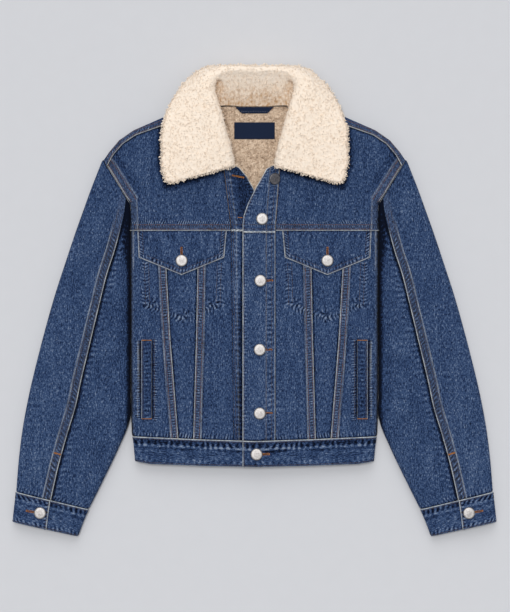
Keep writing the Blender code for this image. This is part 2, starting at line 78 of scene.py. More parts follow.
class Value:
    """A number or colour that changes over a surface. Sums and products of it add Math nodes."""

    def __init__(self, finish, socket):
        self.finish = finish
        self.socket = socket

    def math(self, operation, *others):
        return self.finish.node("Math", {"operation": operation}, dict(enumerate((self, *others))))

    def __add__(self, other):
        return self.math("ADD", other)

    def __sub__(self, other):
        return self.math("SUBTRACT", other)

    def __mul__(self, other):
        return self.math("MULTIPLY", other)

    def __rsub__(self, other):
        return self.finish.node("Math", {"operation": "SUBTRACT"}, {0: other, 1: self})

    __radd__ = __add__
    __rmul__ = __mul__

    def clamped(self):
        return self.math("MAXIMUM", 0.0).math("MINIMUM", 1.0)


class Finish:
    """A material: its shader, and the nodes that colour it."""

    def __init__(self, name, roughness, **constants):
        self.material = bpy.data.materials.new(name)
        self.material.use_nodes = True
        self.tree = self.material.node_tree
        self.shader = self.tree.nodes["Principled BSDF"]
        self.set(Roughness=roughness)
        for socket, value in constants.items():
            self.set(**{socket.replace("_", " "): value})

    def set(self, **sockets):
        for socket, value in sockets.items():
            self.put(value, self.shader.inputs[socket.replace("_", " ")])

    def put(self, value, socket):
        if isinstance(value, Value):
            self.tree.links.new(value.socket, socket)
        elif isinstance(value, tuple) and len(value) == 3 and socket.type == "RGBA":
            socket.default_value = (*value, 1.0)
        else:
            socket.default_value = value

    def node(self, kind, settings=None, inputs=None, output=0):
        """A node of the kind: its settings first, then the values or links of its sockets."""
        made = self.tree.nodes.new("ShaderNode" + kind)
        for key, value in (settings or {}).items():
            if key == "stops":
                while len(made.color_ramp.elements) < len(value):
                    made.color_ramp.elements.new(1.0)
                for element, (place, color) in zip(made.color_ramp.elements, value):
                    element.position = place
                    element.color = (*color, 1.0)
            else:
                setattr(made, key, value)
        for key, value in (inputs or {}).items():
            self.put(value, made.inputs[key])
        return Value(self, made.outputs[output])

    def mix(self, a, b, share):
        return self.node("Mix", {"data_type": "RGBA"}, {0: share, 6: a, 7: b}, 2)

    def noise(self, where, scale, detail=2.0, roughness=0.5):
        inputs = {"Vector": where, "Scale": scale, "Detail": detail, "Roughness": roughness}
        return self.node("TexNoise", None, inputs)

    def stretched(self, where, scale):
        """Coordinates scaled by different amounts each way."""
        return self.node("VectorMath", {"operation": "MULTIPLY"}, {0: where, 1: scale})

    def mark(self, name):
        """A mark kept on the piece's own points, such as its fading and painted shade, or its wear."""
        return self.node("Attribute", {"attribute_name": name}, None, 2)

    def bump(self, height, distance, strength):
        return self.node("Bump", None, {"Height": height, "Distance": distance, "Strength": strength})


table_finish = Finish("pale_table", 0.85)
spot = table_finish.noise(table_finish.node("TexCoord", None, None, 3), 40.0)
table_finish.set(Base_Color=table_finish.mix((0.583, 0.587, 0.604), (0.599, 0.603, 0.620), spot))
table_mesh = bpy.data.meshes.new("table")
table_mesh.from_pydata([(-7, -7, 0), (7, -7, 0), (7, 7, 0), (-7, 7, 0)], [], [(0, 1, 2, 3)])
table_mesh.materials.append(table_finish.material)
table = new_object("table", table_mesh)


# ---- back ----
# One panel of washed denim from the waistband to the back yoke, cut on the straight grain. It lies
# flat on the table and turns up at the side seams, where it meets the fronts.

MM = 0.001
DENIM = 1.5
FOLD_Z = 9.0             # height of the side folds above the table
FOLD_R = 10.0            # how far in from a fold the cloth is rounded
SIDE_GAP = 1.1
GAP = 0.3                # between two pieces that are sewn together
WAIST_SEAM = 0.6         # between the body and the waistband
BACK_YOKE_Y = 148.0
WAIST_Y = -220.0
BODY_SIDE = ((-266.0, 190.0), (-257.0, 191.5), (-218.0, 195.0), (-186.0, 196.5), (157.0, 198.0))
ARMHOLE = ((198.0, 157.0), (209.0, 173.0), (219.0, 190.0), (229.0, 206.4), (235.5, 216.5), (241.5, 226.0))
SHOULDER_FOLD = ((241.5, 226.0), (233.0, 238.5), (217.0, 257.5), (194.0, 273.5), (146.0, 294.5),
                 (104.0, 309.5), (72.0, 320.0))
WAISTBAND = ((0.0, -224.0, -265.5), (85.0, -221.5, -264.0), (167.0, -218.0, -261.0),
             (190.0, -217.0, -257.0))
RUFFLE_FADE = 1.45       # how much paler and darker a ruffle is than its share of height
SIDES = (("left", 1.0), ("right", -1.0))
lattice = np.random.default_rng(11).random((64, 64))
corners = np.random.default_rng(12).random((32, 32, 32, 3))


def lerp(a, b, t):
    return a + (b - a) * t


def smooth(t):
    t = np.clip(t, 0.0, 1.0)
    return t * t * (3.0 - 2.0 * t)


def near(away, reach):
    """1 on a line, and down to 0 at a reach from it."""
    return smooth(1.0 - away / reach)


def bell(away, middle, width):
    """A bell that stands on a line, at a distance from an edge."""
    return np.exp(-((away - middle) / width) ** 2)


def both_ways(half):
    """Shares of a half width, mirrored onto the other half."""
    return np.concatenate((-half[:0:-1], half))


def uneven(a, b, seed):
    """Smooth uneven numbers from 0 to 1, a new one at each step of a and of b."""
    a = np.asarray(a, float) + 7.3 * seed
    b = np.asarray(b, float) + 3.1 * seed
    i, j = np.floor(a).astype(int), np.floor(b).astype(int)
    s, t = smooth(a - i), smooth(b - j)
    low = lerp(lattice[i % 64, j % 64], lattice[(i + 1) % 64, j % 64], s)
    top = lerp(lattice[i % 64, (j + 1) % 64], lattice[(i + 1) % 64, (j + 1) % 64], s)
    return lerp(low, top, t)


def table_row(table, at, column):
    """A column of a table of (place, ...) rows, read at any place."""
    rows = np.array(sorted(table), float)
    return np.interp(at, rows[:, 0], rows[:, column])


def half_width(y):
    return table_row(BODY_SIDE, y, 1)


def line_place(x, y, line):
    """Distance of plan points from a line of points, and how far along it they are."""
    line = np.array(line, float)
    best = np.full(np.shape(x), 1e9)
    along = np.zeros(np.shape(x))
    passed = 0.0
    for (ax, ay), (bx, by) in zip(line[:-1, :2], line[1:, :2]):
        length = math.hypot(bx - ax, by - ay)
        t = np.clip(((x - ax) * (bx - ax) + (y - ay) * (by - ay)) / length ** 2, 0.0, 1.0)
        away = np.hypot(x - lerp(ax, bx, t), y - lerp(ay, by, t))
        along = np.where(away < best, passed + t * length, along)
        best = np.minimum(best, away)
        passed += length
    return best, along


def fold_distance(x, y):
    """How far a point of the body is from its side fold and its shoulder fold."""
    armpit_x, armpit_y = ARMHOLE[0]
    side = np.where(y < armpit_y, half_width(y) - abs(x), np.hypot(abs(x) - armpit_x, y - armpit_y))
    return np.maximum(0.0, np.minimum(side, line_place(abs(x), y, SHOULDER_FOLD)[0]))


def rounding(d):
    """From 0 on a fold to 1 at FOLD_R from it, on a quarter of a circle."""
    return np.sqrt(1.0 - (1.0 - np.clip(d / FOLD_R, 0.0, 1.0)) ** 2)


def along(points, t):
    """Points at shares t of the length of a line of points."""
    points = np.array(points, float)
    steps = np.hypot(*np.diff(points[:, :2], axis=0).T)
    at = np.concatenate(([0.0], np.cumsum(steps))) / steps.sum()
    return np.stack([np.interp(t, at, column) for column in points.T], -1)


def between(left, right, low, top, u, v):
    """Plan points at shares u and v of a panel between four edges."""
    sides = lerp(along(left, v), along(right, v), u[..., None])
    ends = lerp(along(low, u), along(top, u), v[..., None])
    low_ends = lerp(along(left, 0.0), along(right, 0.0), u[..., None])
    top_ends = lerp(along(left, 1.0), along(right, 1.0), u[..., None])
    return sides + ends - lerp(low_ends, top_ends, v[..., None])


def stops(length, step, fine=(0.0, 0.35, 0.8, 1.4, 2.3)):
    """Shares of a length: close together at both ends, and about one step apart between them."""
    count = max(2, round((length - 2.0 * fine[-1]) / step) + 1)
    middle = np.linspace(fine[-1], length - fine[-1], count)
    end = np.array(fine[:-1])
    return np.concatenate((end, middle, (length - end)[::-1])) / length


def spread(columns, rows):
    return np.meshgrid(np.asarray(columns, float), np.asarray(rows, float))


def washed_denim():
    """Indigo twill: pale slubs along the warp, fades where it stands up and wear along its edges, and
    painted shade that its fade mark puts in grooves, under lapped edges and beside the body.
    """
    made = Finish("washed_denim", 0.9, Specular_IOR_Level=0.06, Sheen_Weight=0.01, Sheen_Roughness=0.6)
    grain = made.node("UVMap", {"uv_map": "grain"})
    yarn = made.noise(made.stretched(grain, (600.0, 170.0, 1.0)), 1.0, 2.0, 0.65)
    fleck = made.noise(made.stretched(grain, (540.0, 400.0, 1.0)), 1.0, 2.0, 0.7)
    slub = made.noise(made.stretched(grain, (150.0, 22.0, 1.0)), 1.0, 1.0)
    wash = made.noise(made.stretched(grain, (24.0, 15.0, 1.0)), 1.0, 2.0)
    fade, wear = made.mark("fade"), made.mark("wear")
    tone = 0.5 + (yarn - 0.5) * 2.6 + (fleck - 0.5) * 2.2 + (slub - 0.5) * 0.55 + (wash - 0.5) * 0.35
    tone = (tone * 0.6 + 0.2 + fade * 0.34).clamped()
    blue = made.node("ValToRGB", {"stops": (
        (0.0, (0.0018, 0.004, 0.012)),
        (0.28, (0.0115, 0.0245, 0.067)),
        (0.50, (0.0270, 0.0535, 0.128)),
        (0.72, (0.0620, 0.1040, 0.200)),
        (1.0, (0.205, 0.255, 0.350)))}, {"Fac": tone})
    rubbed = (wear * (0.25 + fleck * 1.5)).clamped()
    made.set(Base_Color=made.mix(blue, (0.70, 0.73, 0.72), rubbed))
    across = made.node("SeparateXYZ", None, {0: grain})
    up = made.node("SeparateXYZ", None, {0: grain}, 1)
    twill = ((across + up * 0.62) * (2.0 * math.pi / 0.0011)).math("SINE")
    made.set(Normal=made.bump(twill * 0.4 + fleck + yarn * 0.8, 0.00025, 0.9))
    return made.material


denim = washed_denim()


class Panel:
    """A cut piece on the laid-out jacket: its outer face as rows and columns of points, in
    millimetres. What is pressed, worn and sewn into it is added before sew() gives it its wall."""

    def __init__(self, base, face=1.0):
        self.base = base
        self.face = face
        normal = np.cross(np.gradient(base, axis=1), np.gradient(base, axis=0)) * face
        self.normal = normal / np.maximum(np.linalg.norm(normal, axis=-1, keepdims=True), 1e-9)
        self.x, self.y = base[..., 0], base[..., 1]
        across = np.linalg.norm(np.diff(base, axis=1), axis=-1)
        up = np.linalg.norm(np.diff(base, axis=0), axis=-1)
        self.left = np.pad(np.cumsum(across, axis=1), ((0, 0), (1, 0)))
        self.right = self.left[:, -1:] - self.left
        self.low = np.pad(np.cumsum(up, axis=0), ((1, 0), (0, 0)))
        self.top = self.low[-1:] - self.low
        self.grain = base[..., :2]
        self.lift = np.zeros(base.shape[:2])
        self.rise = np.zeros(base.shape[:2])
        self.fade = np.zeros(base.shape[:2])
        self.wear = np.zeros(base.shape[:2])

    def cut_across(self):
        """Turns the cloth's grain to run along a band, from one end to the other."""
        self.grain = np.stack((self.low, self.left), -1)

    def away(self, edge):
        """Distance from an edge, and how far along that edge."""
        along_it = self.low if edge in ("left", "right") else self.left
        return getattr(self, edge), along_it

    def turn(self, *edges, radius=1.0, worn=0.0, width=1.5):
        """A turned edge: the face rounds down to it, and it may be worn pale."""
        for edge in edges:
            away, along_it = self.away(edge)
            t = np.clip(1.0 - away / radius, 0.0, 1.0)
            self.rise -= radius * (1.0 - np.sqrt(1.0 - t * t))
            if np.any(worn):
                self.rub(away, along_it, worn, width)

    def rub(self, away, along_it, worn, width):
        """Wear along a line, more in some places than in others."""
        patchy = 0.6 + 0.6 * uneven(along_it / 9.0, 0.0, 3) + 0.6 * (uneven(along_it / 2.1, 0.0, 5) - 0.5)
        self.wear = np.maximum(self.wear, worn * patchy * bell(away, 0.0, 0.66 * width))

    def strip(self, away, start, end, height, soft, fade=0.0, grey=0.022):
        """Raises what lies between two distances from a line, as in a felled seam, and greys it."""
        band = smooth((away - start) / soft + 0.5) * smooth((end - away) / soft + 0.5)
        self.rise += height * band
        self.fade += fade * band
        self.wear = np.maximum(self.wear, grey * band)

    def sink(self, away, reach, depth, fade=0.0):
        """Sinks both faces towards a line, where the next piece laps over, and darkens them there with
        painted shade.
        """
        close = near(away, reach)
        self.lift -= depth * close
        self.fade += fade * close

    def pucker(self, away, along_it, reach, pitch, depth, lean, start, fade=1.0, seed=0):
        """Short ruffles beside a line of stitches: pale on top and dark between."""
        turn = along_it / pitch + 0.9 * uneven(along_it / (2.6 * pitch), away / (3.0 * reach), seed)
        wave = np.sin(2.0 * math.pi * (turn + lean * away / pitch))
        reach_here = reach * (0.6 + 0.8 * uneven(along_it / (1.3 * pitch), 0.0, seed + 1))
        close = near(np.abs(away - start), reach_here)
        some = 0.45 + 0.9 * uneven(along_it / (1.7 * pitch), away / 9.0, seed + 2)
        self.rise += depth * wave * close * some
        self.fade += fade * wave * close * some * RUFFLE_FADE

    def crease(self, line, width, depth, fade):
        """A soft ridge, or a trough where depth is negative, along a plan line. A ridge is worn paler,
        and a trough is darkened with painted shade.
        """
        away, along_it = line_place(self.x, self.y, line)
        length = sum(math.dist(a, b) for a, b in zip(line[:-1], line[1:]))
        ends = smooth(along_it / (0.3 * length)) * smooth((length - along_it) / (0.3 * length))
        swell = ends * bell(away, 0.0, width) * (0.8 + 0.4 * uneven(along_it / width, 0.0, 2))
        self.lift += depth * swell
        self.fade += fade * swell

    def outer(self):
        """The finished outer face, flat where it rests on the table."""
        face = self.base + self.normal * (self.lift + self.rise)[..., None]
        face[..., 2] = np.maximum(face[..., 2], 0.0)
        return face

    def thread(self, edge, distance, start=0.0, end=None):
        """A line on the finished face at a distance from an edge: its points and their normals."""
        face, normal = self.outer(), self.normal
        away, along_it = self.away(edge)
        if edge in ("low", "top"):
            face, normal = face.swapaxes(0, 1), normal.swapaxes(0, 1)
            away, along_it = away.T, along_it.T
        if edge in ("right", "top"):
            face, normal, away, along_it = (a[:, ::-1] for a in (face, normal, away, along_it))
        line = []
        for points, ways, distances, places in zip(face, normal, away, along_it):
            at = np.interp(distance, distances, np.arange(len(distances)))
            i = min(int(at), len(distances) - 2)
            if places[i] < start or (end is not None and places[i] > end):
                continue
            line.append((lerp(points[i], points[i + 1], at - i), ways[i]))
        return line

    def lay(self, plan):
        """A plan line put on the finished face: its points and their normals."""
        face = self.outer()
        line = []
        behind = (self.normal[..., 2] < 0.2) * 1e6
        for x, y in plan:
            apart = (face[..., 0] - x) ** 2 + (face[..., 1] - y) ** 2 + behind
            row, column = np.unravel_index(np.argmin(apart), apart.shape)
            line.append((np.array([x, y, face[row, column, 2]]), self.normal[row, column]))
        return line

    def cut(self):
        """Width, length and area of the flat cut, in metres."""
        quads = np.cross(self.base[1:, 1:] - self.base[:-1, :-1], self.base[1:, :-1] - self.base[:-1, 1:])
        area = np.linalg.norm(quads, axis=-1).sum() / 2.0 * MM * MM
        width, length = self.left.max() * MM, self.low.max() * MM
        return (width, length), min(area, width * length)

    def sew(self, name, wall, stands_for, slot="denim", finish=None, lies_on=(), coarse=5, sharp=50.0,
            pile=None):
        """The piece as a closed shell: a fine outer face, a coarser inner one, and a rim. pile gives
        the curls that grow on it."""
        rows, columns = self.base.shape[:2]
        outer = self.outer()
        row_at = np.unique(np.append(np.arange(0, rows, coarse), rows - 1))
        column_at = np.unique(np.append(np.arange(0, columns, coarse), columns - 1))
        inner = self.base + self.normal * (self.lift - wall)[..., None]
        inner = inner[np.ix_(row_at, column_at)]
        top = np.arange(rows * columns).reshape(rows, columns)
        under = np.arange(inner.shape[0] * inner.shape[1]).reshape(inner.shape[:2]) + rows * columns
        faces = []
        for ids, flip in ((top, False), (under, True)):
            quads = np.stack((ids[:-1, :-1], ids[:-1, 1:], ids[1:, 1:], ids[1:, :-1]), -1).reshape(-1, 4)
            faces += (quads[:, ::-1] if flip else quads).tolist()
        sides = ((top[0], under[0], column_at), (top[:, -1], under[:, -1], row_at),
                 (top[-1][::-1], under[-1][::-1], columns - 1 - column_at[::-1]),
                 (top[:, 0][::-1], under[:, 0][::-1], rows - 1 - row_at[::-1]))
        for fine, far, at in sides:
            for k in range(len(at) - 1):
                for i in range(at[k], at[k + 1]):
                    faces.append([fine[i + 1], fine[i], far[k]])
                faces.append([fine[at[k + 1]], far[k], far[k + 1]])
        if self.face < 0:
            faces = [f[::-1] for f in faces]
        mesh = bpy.data.meshes.new(name)
        mesh.from_pydata(np.concatenate((outer.reshape(-1, 3), inner.reshape(-1, 3))) * MM, [], faces)
        for key in ("fade", "wear"):
            values = np.zeros(len(mesh.vertices))
            values[:rows * columns] = getattr(self, key).ravel()
            mesh.attributes.new(key, "FLOAT", "POINT").data.foreach_set("value", values)
        grain = np.concatenate((self.grain.reshape(-1, 2),
                                self.grain[np.ix_(row_at, column_at)].reshape(-1, 2))) * MM
        corner = np.zeros(len(mesh.loops), int)
        mesh.loops.foreach_get("vertex_index", corner)
        mesh.uv_layers.new(name="grain").data.foreach_set("uv", grain[corner].ravel())
        mesh.shade_smooth()
        mesh.set_sharp_from_angle(angle=math.radians(sharp))
        mesh.materials.append(finish or denim)
        piece = new_object(name, mesh)
        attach(piece, "root")
        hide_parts(*stands_for)
        flat, area = self.cut()
        grown = [grow_pile(name, piece, slot, **kind) for kind in pile or ()]
        return piece


def mirror(base, sign):
    """A left piece's points as they are, or mirrored for the right one where sign is -1."""
    return base * (sign, 1.0, 1.0)


def mirrored(line, sign):
    """The same for a plan line."""
    return [(sign * x, y) for x, y in line]


def waist(x, column):
    return table_row(WAISTBAND, abs(x), column)


fold_turn = FOLD_R * (1.0 - np.cos(np.radians(np.arange(0, 91, 9))))
HEM_HALF = 197.0
WAIST_HALF = 196.0


def across_body(count):
    """Shares of the body's width, closer together where it turns round the side folds."""
    flat = np.linspace(0.0, 1.0 - FOLD_R / HEM_HALF, count)[:-1]
    return both_ways(np.concatenate((flat, 1.0 - fold_turn[::-1] / HEM_HALF)))


def back_base(x, y):
    """Points of the back: flat on the table, and turned up at the side folds."""
    return np.stack((x, y, (FOLD_Z - SIDE_GAP) * (1.0 - rounding(fold_distance(x, y)))), -1)


u, v = spread(across_body(48), np.linspace(0.0, 1.0, 90))
y = lerp(waist(u * WAIST_HALF, 1) + WAIST_SEAM, BACK_YOKE_Y - GAP, v)
x = u * half_width(y)
back = Panel(back_base(x, y), -1.0)
back.turn("low", "top", worn=0.35)
back.lift += 0.75 * near(np.minimum(back.left, back.right), 4.0)
back_piece = back.sew("back_cloth", DENIM, ["back_panel"], coarse=3)


# ---- back yoke ----
# One piece across the shoulders. It lies under them, turns over their fold and shows in front as a
# strip, felled over the front yokes and topstitched along its edge.

NECK_Y = 310.0
NECK_HALF = 72.0         # where the shoulder seams end at the neck
NECK_TURN = 16.0
NECK_LIP = 3.4
BODY_H = 18.0
BODY_CROWN = 3.5
BODY_HALF = 198.0
SHOULDER_SEAM = ((235.5, 216.5), (226.0, 234.0), (211.0, 251.5), (190.0, 265.5), (144.0, 281.5),
                 (101.0, 297.5), (NECK_HALF, 308.0))


def front_height(x, y):
    """Height of the front's outer face."""
    high = BODY_H + BODY_CROWN * (1.0 - np.minimum(abs(x) / BODY_HALF, 1.0) ** 2)
    return lerp(FOLD_Z + SIDE_GAP, high, rounding(fold_distance(x, y)))


neck_line = ((56.0, 311.0), (30.0, NECK_Y), (0.0, NECK_Y))
fold_line = tuple(reversed(SHOULDER_FOLD + neck_line))
seam_line = tuple(reversed(SHOULDER_SEAM + neck_line))
half = np.concatenate((np.linspace(0.0, 0.24, 14)[:-1], np.linspace(0.24, 1.0, 104)))
under_rows = np.concatenate((np.linspace(0.0, 0.85, 12)[:-1],
                             1.0 - 0.15 * (1.0 - np.sin(np.linspace(0.0, math.pi / 2, 16)))))
over_rows = 2.0 - np.cos(np.linspace(0.0, math.pi / 2, 12))[1:]
u, v = spread(both_ways(half), under_rows)
plan = between(((0.0, BACK_YOKE_Y), (0.0, NECK_Y)), ((BODY_HALF, BACK_YOKE_Y),) + ARMHOLE,
               ((0.0, BACK_YOKE_Y), (BODY_HALF, BACK_YOKE_Y)), fold_line, abs(u), v)
fold = along(fold_line, abs(u))
at_neck = np.clip((NECK_HALF - fold[..., 0]) / NECK_TURN, 0.0, 1.0)
away = np.minimum(np.linalg.norm(fold - plan, axis=-1), fold_distance(plan[..., 0], plan[..., 1]))
z = FOLD_Z * (1.0 - rounding(away)) * (1.0 - at_neck)
under = np.stack((np.sign(u) * plan[..., 0], plan[..., 1], z), -1)
u, v = spread(both_ways(half), over_rows)
plan = lerp(along(fold_line, abs(u)), along(seam_line, abs(u)), (v - 1.0)[..., None])
at_neck = np.clip((NECK_HALF - along(fold_line, abs(u))[..., 0]) / NECK_TURN, 0.0, 1.0)
z = lerp(front_height(plan[..., 0], plan[..., 1]), NECK_LIP * (v - 1.0) ** 0.6, at_neck)
over = np.stack((np.sign(u) * plan[..., 0], plan[..., 1], z), -1)
back_yoke = Panel(np.concatenate((under, over)), -1.0)
on_top = (back_yoke.normal[..., 2] > 0.1) * (abs(back_yoke.x) > NECK_HALF)
back_yoke.strip(back_yoke.top, -5.0, 9.0, 0.7 * on_top, 2.0)
back_yoke.turn("top", worn=0.8, width=1.3)
back_yoke.pucker(back_yoke.top, back_yoke.left, 6.0, 3.4, 0.28 * on_top, 0.3, start=3.0,
                 fade=0.9 * on_top)
back_yoke.turn("low", worn=0.3)
back_yoke.fade -= 0.25 * on_top
back_yoke.sew("back_yoke_cloth", DENIM, ["back_yoke"], coarse=3)


# ---- topstitching ----
# Tobacco thread in a lockstitch about three millimetres long. Each stitch is one short bead of thread
# laid along the line; bar tacks and buttonholes are the same bead laid across it, side by side.

class Tree:
    """A geometry tree with named inputs, run once on an object and turned into a plain mesh."""

    def __init__(self, name, inputs):
        self.tree = bpy.data.node_groups.new(name, "GeometryNodeTree")
        self.sockets = {}
        for label, kind in inputs:
            made = self.tree.interface.new_socket(label, in_out="INPUT", socket_type="NodeSocket" + kind)
            self.sockets[label] = made.identifier
        self.tree.interface.new_socket("Result", in_out="OUTPUT", socket_type="NodeSocketGeometry")
        self.start = self.tree.nodes.new("NodeGroupInput")
        self.end = self.tree.nodes.new("NodeGroupOutput")

    def add(self, kind, settings=None, output=0, **inputs):
        """A node of the kind: its settings first, then the values or links of its sockets."""
        made = self.tree.nodes.new(kind)
        for key, value in (settings or {}).items():
            setattr(made, key, value)
        for key, value in inputs.items():
            socket = made.inputs[int(key[1:]) if key[1:].isdigit() else key.replace("_", " ")]
            if isinstance(value, bpy.types.NodeSocket):
                self.tree.links.new(value, socket)
            elif isinstance(value, str) and value in self.sockets:
                self.tree.links.new(self.start.outputs[value], socket)
            else:
                socket.default_value = value
        return made.outputs[output]

    def close(self, geometry):
        """Realizes the copies, gives them their material and ends the tree."""
        real = self.add("GeometryNodeRealizeInstances", Geometry=geometry)
        smooth_shaded = self.add("GeometryNodeSetShadeSmooth", Geometry=real)
        done = self.add("GeometryNodeSetMaterial", Geometry=smooth_shaded, Material="Material")
        self.tree.links.new(done, self.end.inputs[0])

    def run(self, name, mesh, **values):
        base = new_object(name + "_base", mesh)
        modifier = base.modifiers.new("grow", "NODES")
        modifier.node_group = self.tree
        for label, value in values.items():
            modifier[self.sockets[label]] = value
        made = bpy.data.meshes.new_from_object(base.evaluated_get(bpy.context.evaluated_depsgraph_get()))
        base.modifiers.remove(modifier)
        bpy.data.objects.remove(base)
        made.name = name
        return new_object(name, made)


beads = Tree("topstitch", (("Geometry", "Geometry"), ("Pitch", "Float"), ("Size", "Vector"),
                           ("Material", "Material")))
line = beads.add("GeometryNodeMeshToCurve", _0="Geometry")
line = beads.add("GeometryNodeResampleCurve", {"mode": "LENGTH"}, Curve=line, Length="Pitch")
tangent = beads.add("GeometryNodeInputTangent")
out_of_cloth = beads.add("GeometryNodeInputNamedAttribute", {"data_type": "FLOAT_VECTOR"}, Name="out")
turned = beads.add("FunctionNodeAlignRotationToVector", {"axis": "X"}, Vector=tangent)
turned = beads.add("FunctionNodeAlignRotationToVector", {"axis": "Z", "pivot_axis": "X"},
                   Rotation=turned, Vector=out_of_cloth)
jitter = beads.add("FunctionNodeRandomValue", {"data_type": "FLOAT"}, 1, _2=0.85, _3=1.12, Seed=3)
bead = beads.add("GeometryNodeMeshIcoSphere", Radius=0.5, Subdivisions=1)
bead = beads.add("GeometryNodeTransform", Geometry=bead, Scale="Size")
laid = beads.add("GeometryNodeInstanceOnPoints", Points=line, Instance=bead, Rotation=turned,
                 Scale=jitter)
beads.close(laid)


def thread_finish(name, color):
    """Spun polyester thread: a little lighter and darker from stitch to stitch."""
    made = Finish(name, 0.7, Specular_IOR_Level=0.2)
    where = made.node("TexCoord", None, None, 3)
    dark = tuple(0.45 * c for c in color)
    shade = (made.noise(where, 260.0, 1.0) * 1.6 - 0.3).clamped()
    made.set(Base_Color=made.mix(dark, color, shade))
    ply = made.node("TexWave", {"bands_direction": "DIAGONAL"}, {"Vector": where, "Scale": 900.0})
    made.set(Normal=made.bump(ply, 0.0001, 0.6))
    return made.material


tobacco = thread_finish("tobacco_thread", (0.235, 0.112, 0.070))
tack_orange = thread_finish("tack_thread", (0.50, 0.205, 0.055))
dull_brown = thread_finish("dull_brown_thread", (0.105, 0.075, 0.068))


def stitch(name, lines, pitch=3.1, size=(2.8, 1.15, 0.8), thread=tobacco):
    """Stitches along lines of (point, normal). Sizes are a stitch's length, width and thickness."""
    points, edges, normals = [], [], []
    for one in lines:
        first = len(points)
        points += [np.maximum(point, (-np.inf, -np.inf, size[2] / 2.0)) * MM for point, _ in one]
        normals += [normal for _, normal in one]
        edges += [(i, i + 1) for i in range(first, len(points) - 1)]
    mesh = bpy.data.meshes.new(name)
    mesh.from_pydata(points, edges, [])
    mesh.attributes.new("out", "FLOAT_VECTOR", "POINT").data.foreach_set("vector", np.ravel(normals))
    made = beads.run(name, mesh, Pitch=pitch * MM, Size=[c * MM for c in size], Material=thread)
    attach(made, "root")


def line_between(a, b, step=1.0):
    """Plan points from a to b."""
    count = max(2, round(math.dist(a, b) / step) + 1)
    return [(lerp(a[0], b[0], t), lerp(a[1], b[1], t)) for t in np.linspace(0.0, 1.0, count)]


def tack(name, lines, width=2.0):
    """A bar tack: thread laid across a short line, side by side."""
    stitch(name, lines, 0.55, (0.65, width, 0.9), tack_orange)


def buttonhole(panel, a, b, width=3.0):
    """The worked edge of a buttonhole from a to b: a loop of plan points put on the panel."""
    ax, ay = a
    bx, by = b
    length = math.dist(a, b)
    ux, uy = (bx - ax) / length, (by - ay) / length
    half = width / 2.0 - 0.55
    plan = []
    for t in np.linspace(0.0, 2.0 * math.pi, 44):
        run = (0.5 * np.clip(1.35 * math.cos(t), -1.0, 1.0) + 0.5) * length
        side = half * np.clip(1.6 * math.sin(t), -1.0, 1.0)
        plan.append((ax + ux * run - uy * side, ay + uy * run + ux * side))
    return panel.lay(plan)


stitch("shoulder_stitching", [back_yoke.thread("top", d, start, end)
                              for d in (1.9, 8.0) for start, end in ((6.0, 175.0), (345.0, 540.0))])


# ---- back lining ----
# Curly sherpa on a knitted back, cut like the back and sewn in along the neck. It is tan inside and
# shows only in the neck, so its pile is worked finely there and left plain under the fronts.

LINING_TOP = 10.8        # height of the lining's face above the table
LINING_FOOT = ((0.0, -212.0), (178.0, -212.0))
SHERPA = 9.0


def nubs(points, size, seed=0):
    """Domes packed over a surface, 1 on top of each and 0 between them."""
    cell = np.floor(points / size).astype(int) + seed
    nearest = np.full(points.shape[:-1], 9.0)
    for shift in itertools.product((-1, 0, 1), repeat=3):
        at = cell + shift
        middle = at - seed + 0.1 + 0.8 * corners[at[..., 0] % 32, at[..., 1] % 32, at[..., 2] % 32]
        nearest = np.minimum(nearest, np.linalg.norm(points / size - middle, axis=-1))
    return np.clip(1.0 - (nearest / 0.85) ** 2, 0.0, 1.0)


def sherpa_finish(name, deep, body, tip, curly):
    """Curly wool pile, lighter and darker at random, with painted shade in the deep colour between the
    curls and painted light in the pale colour at their tips.
    """
    made = Finish(name, 0.95, Specular_IOR_Level=0.15, Sheen_Weight=0.25, Sheen_Roughness=0.5)
    where = made.node("TexCoord", None, None, 3)
    curl = made.noise(where, 420.0, 3.0, 0.65)
    patch = made.noise(where, 38.0, 1.0)
    tone = (made.mark("fade") * 0.5 + 0.42 + (curl - 0.5) * curly + (patch - 0.5) * 0.25).clamped()
    stops_of = ((0.0, deep), (0.45, body), (1.0, tip))
    made.set(Base_Color=made.node("ValToRGB", {"stops": stops_of}, {"Fac": tone}))
    made.set(Normal=made.bump(curl, 0.0013, 0.5))
    return made.material


tan_pile = sherpa_finish(
    "tan_sherpa", (0.22, 0.145, 0.095), (0.51, 0.375, 0.265), (0.82, 0.66, 0.50), curly=1.9)
cream_pile = sherpa_finish(
    "cream_sherpa", (0.54, 0.33, 0.17), (0.89, 0.755, 0.615), (0.96, 0.865, 0.755), curly=0.55)

curls = Tree("pile", (("Geometry", "Geometry"), ("Density", "Float"), ("Length", "Float"),
                      ("Seed", "Int"), ("Material", "Material")))
pile_mark = curls.add("GeometryNodeInputNamedAttribute", {"data_type": "FLOAT"}, Name="pile")
dense = curls.add("ShaderNodeMath", {"operation": "MULTIPLY"}, _0=pile_mark, _1="Density")
spots = curls.add("GeometryNodeDistributePointsOnFaces", Mesh="Geometry", Density=dense, Seed="Seed")
upright = spots.node.outputs["Rotation"]
lean = curls.add("FunctionNodeRandomValue", {"data_type": "FLOAT_VECTOR"}, 0,
                 Min=(-0.9, -0.9, -3.14), Max=(0.9, 0.9, 3.14), Seed=5)
lean = curls.add("FunctionNodeEulerToRotation", Euler=lean)
upright = curls.add("FunctionNodeRotateRotation", {"rotation_space": "LOCAL"}, Rotation=upright, _1=lean)
strand = curls.add("GeometryNodeCurveQuadraticBezier", Resolution=3, Start=(0.0, 0.0, -0.2),
                   Middle=(0.15, 0.1, 0.9), End=(0.75, 0.0, 0.55))
ring = curls.add("GeometryNodeCurvePrimitiveCircle", Resolution=3, Radius=0.15)
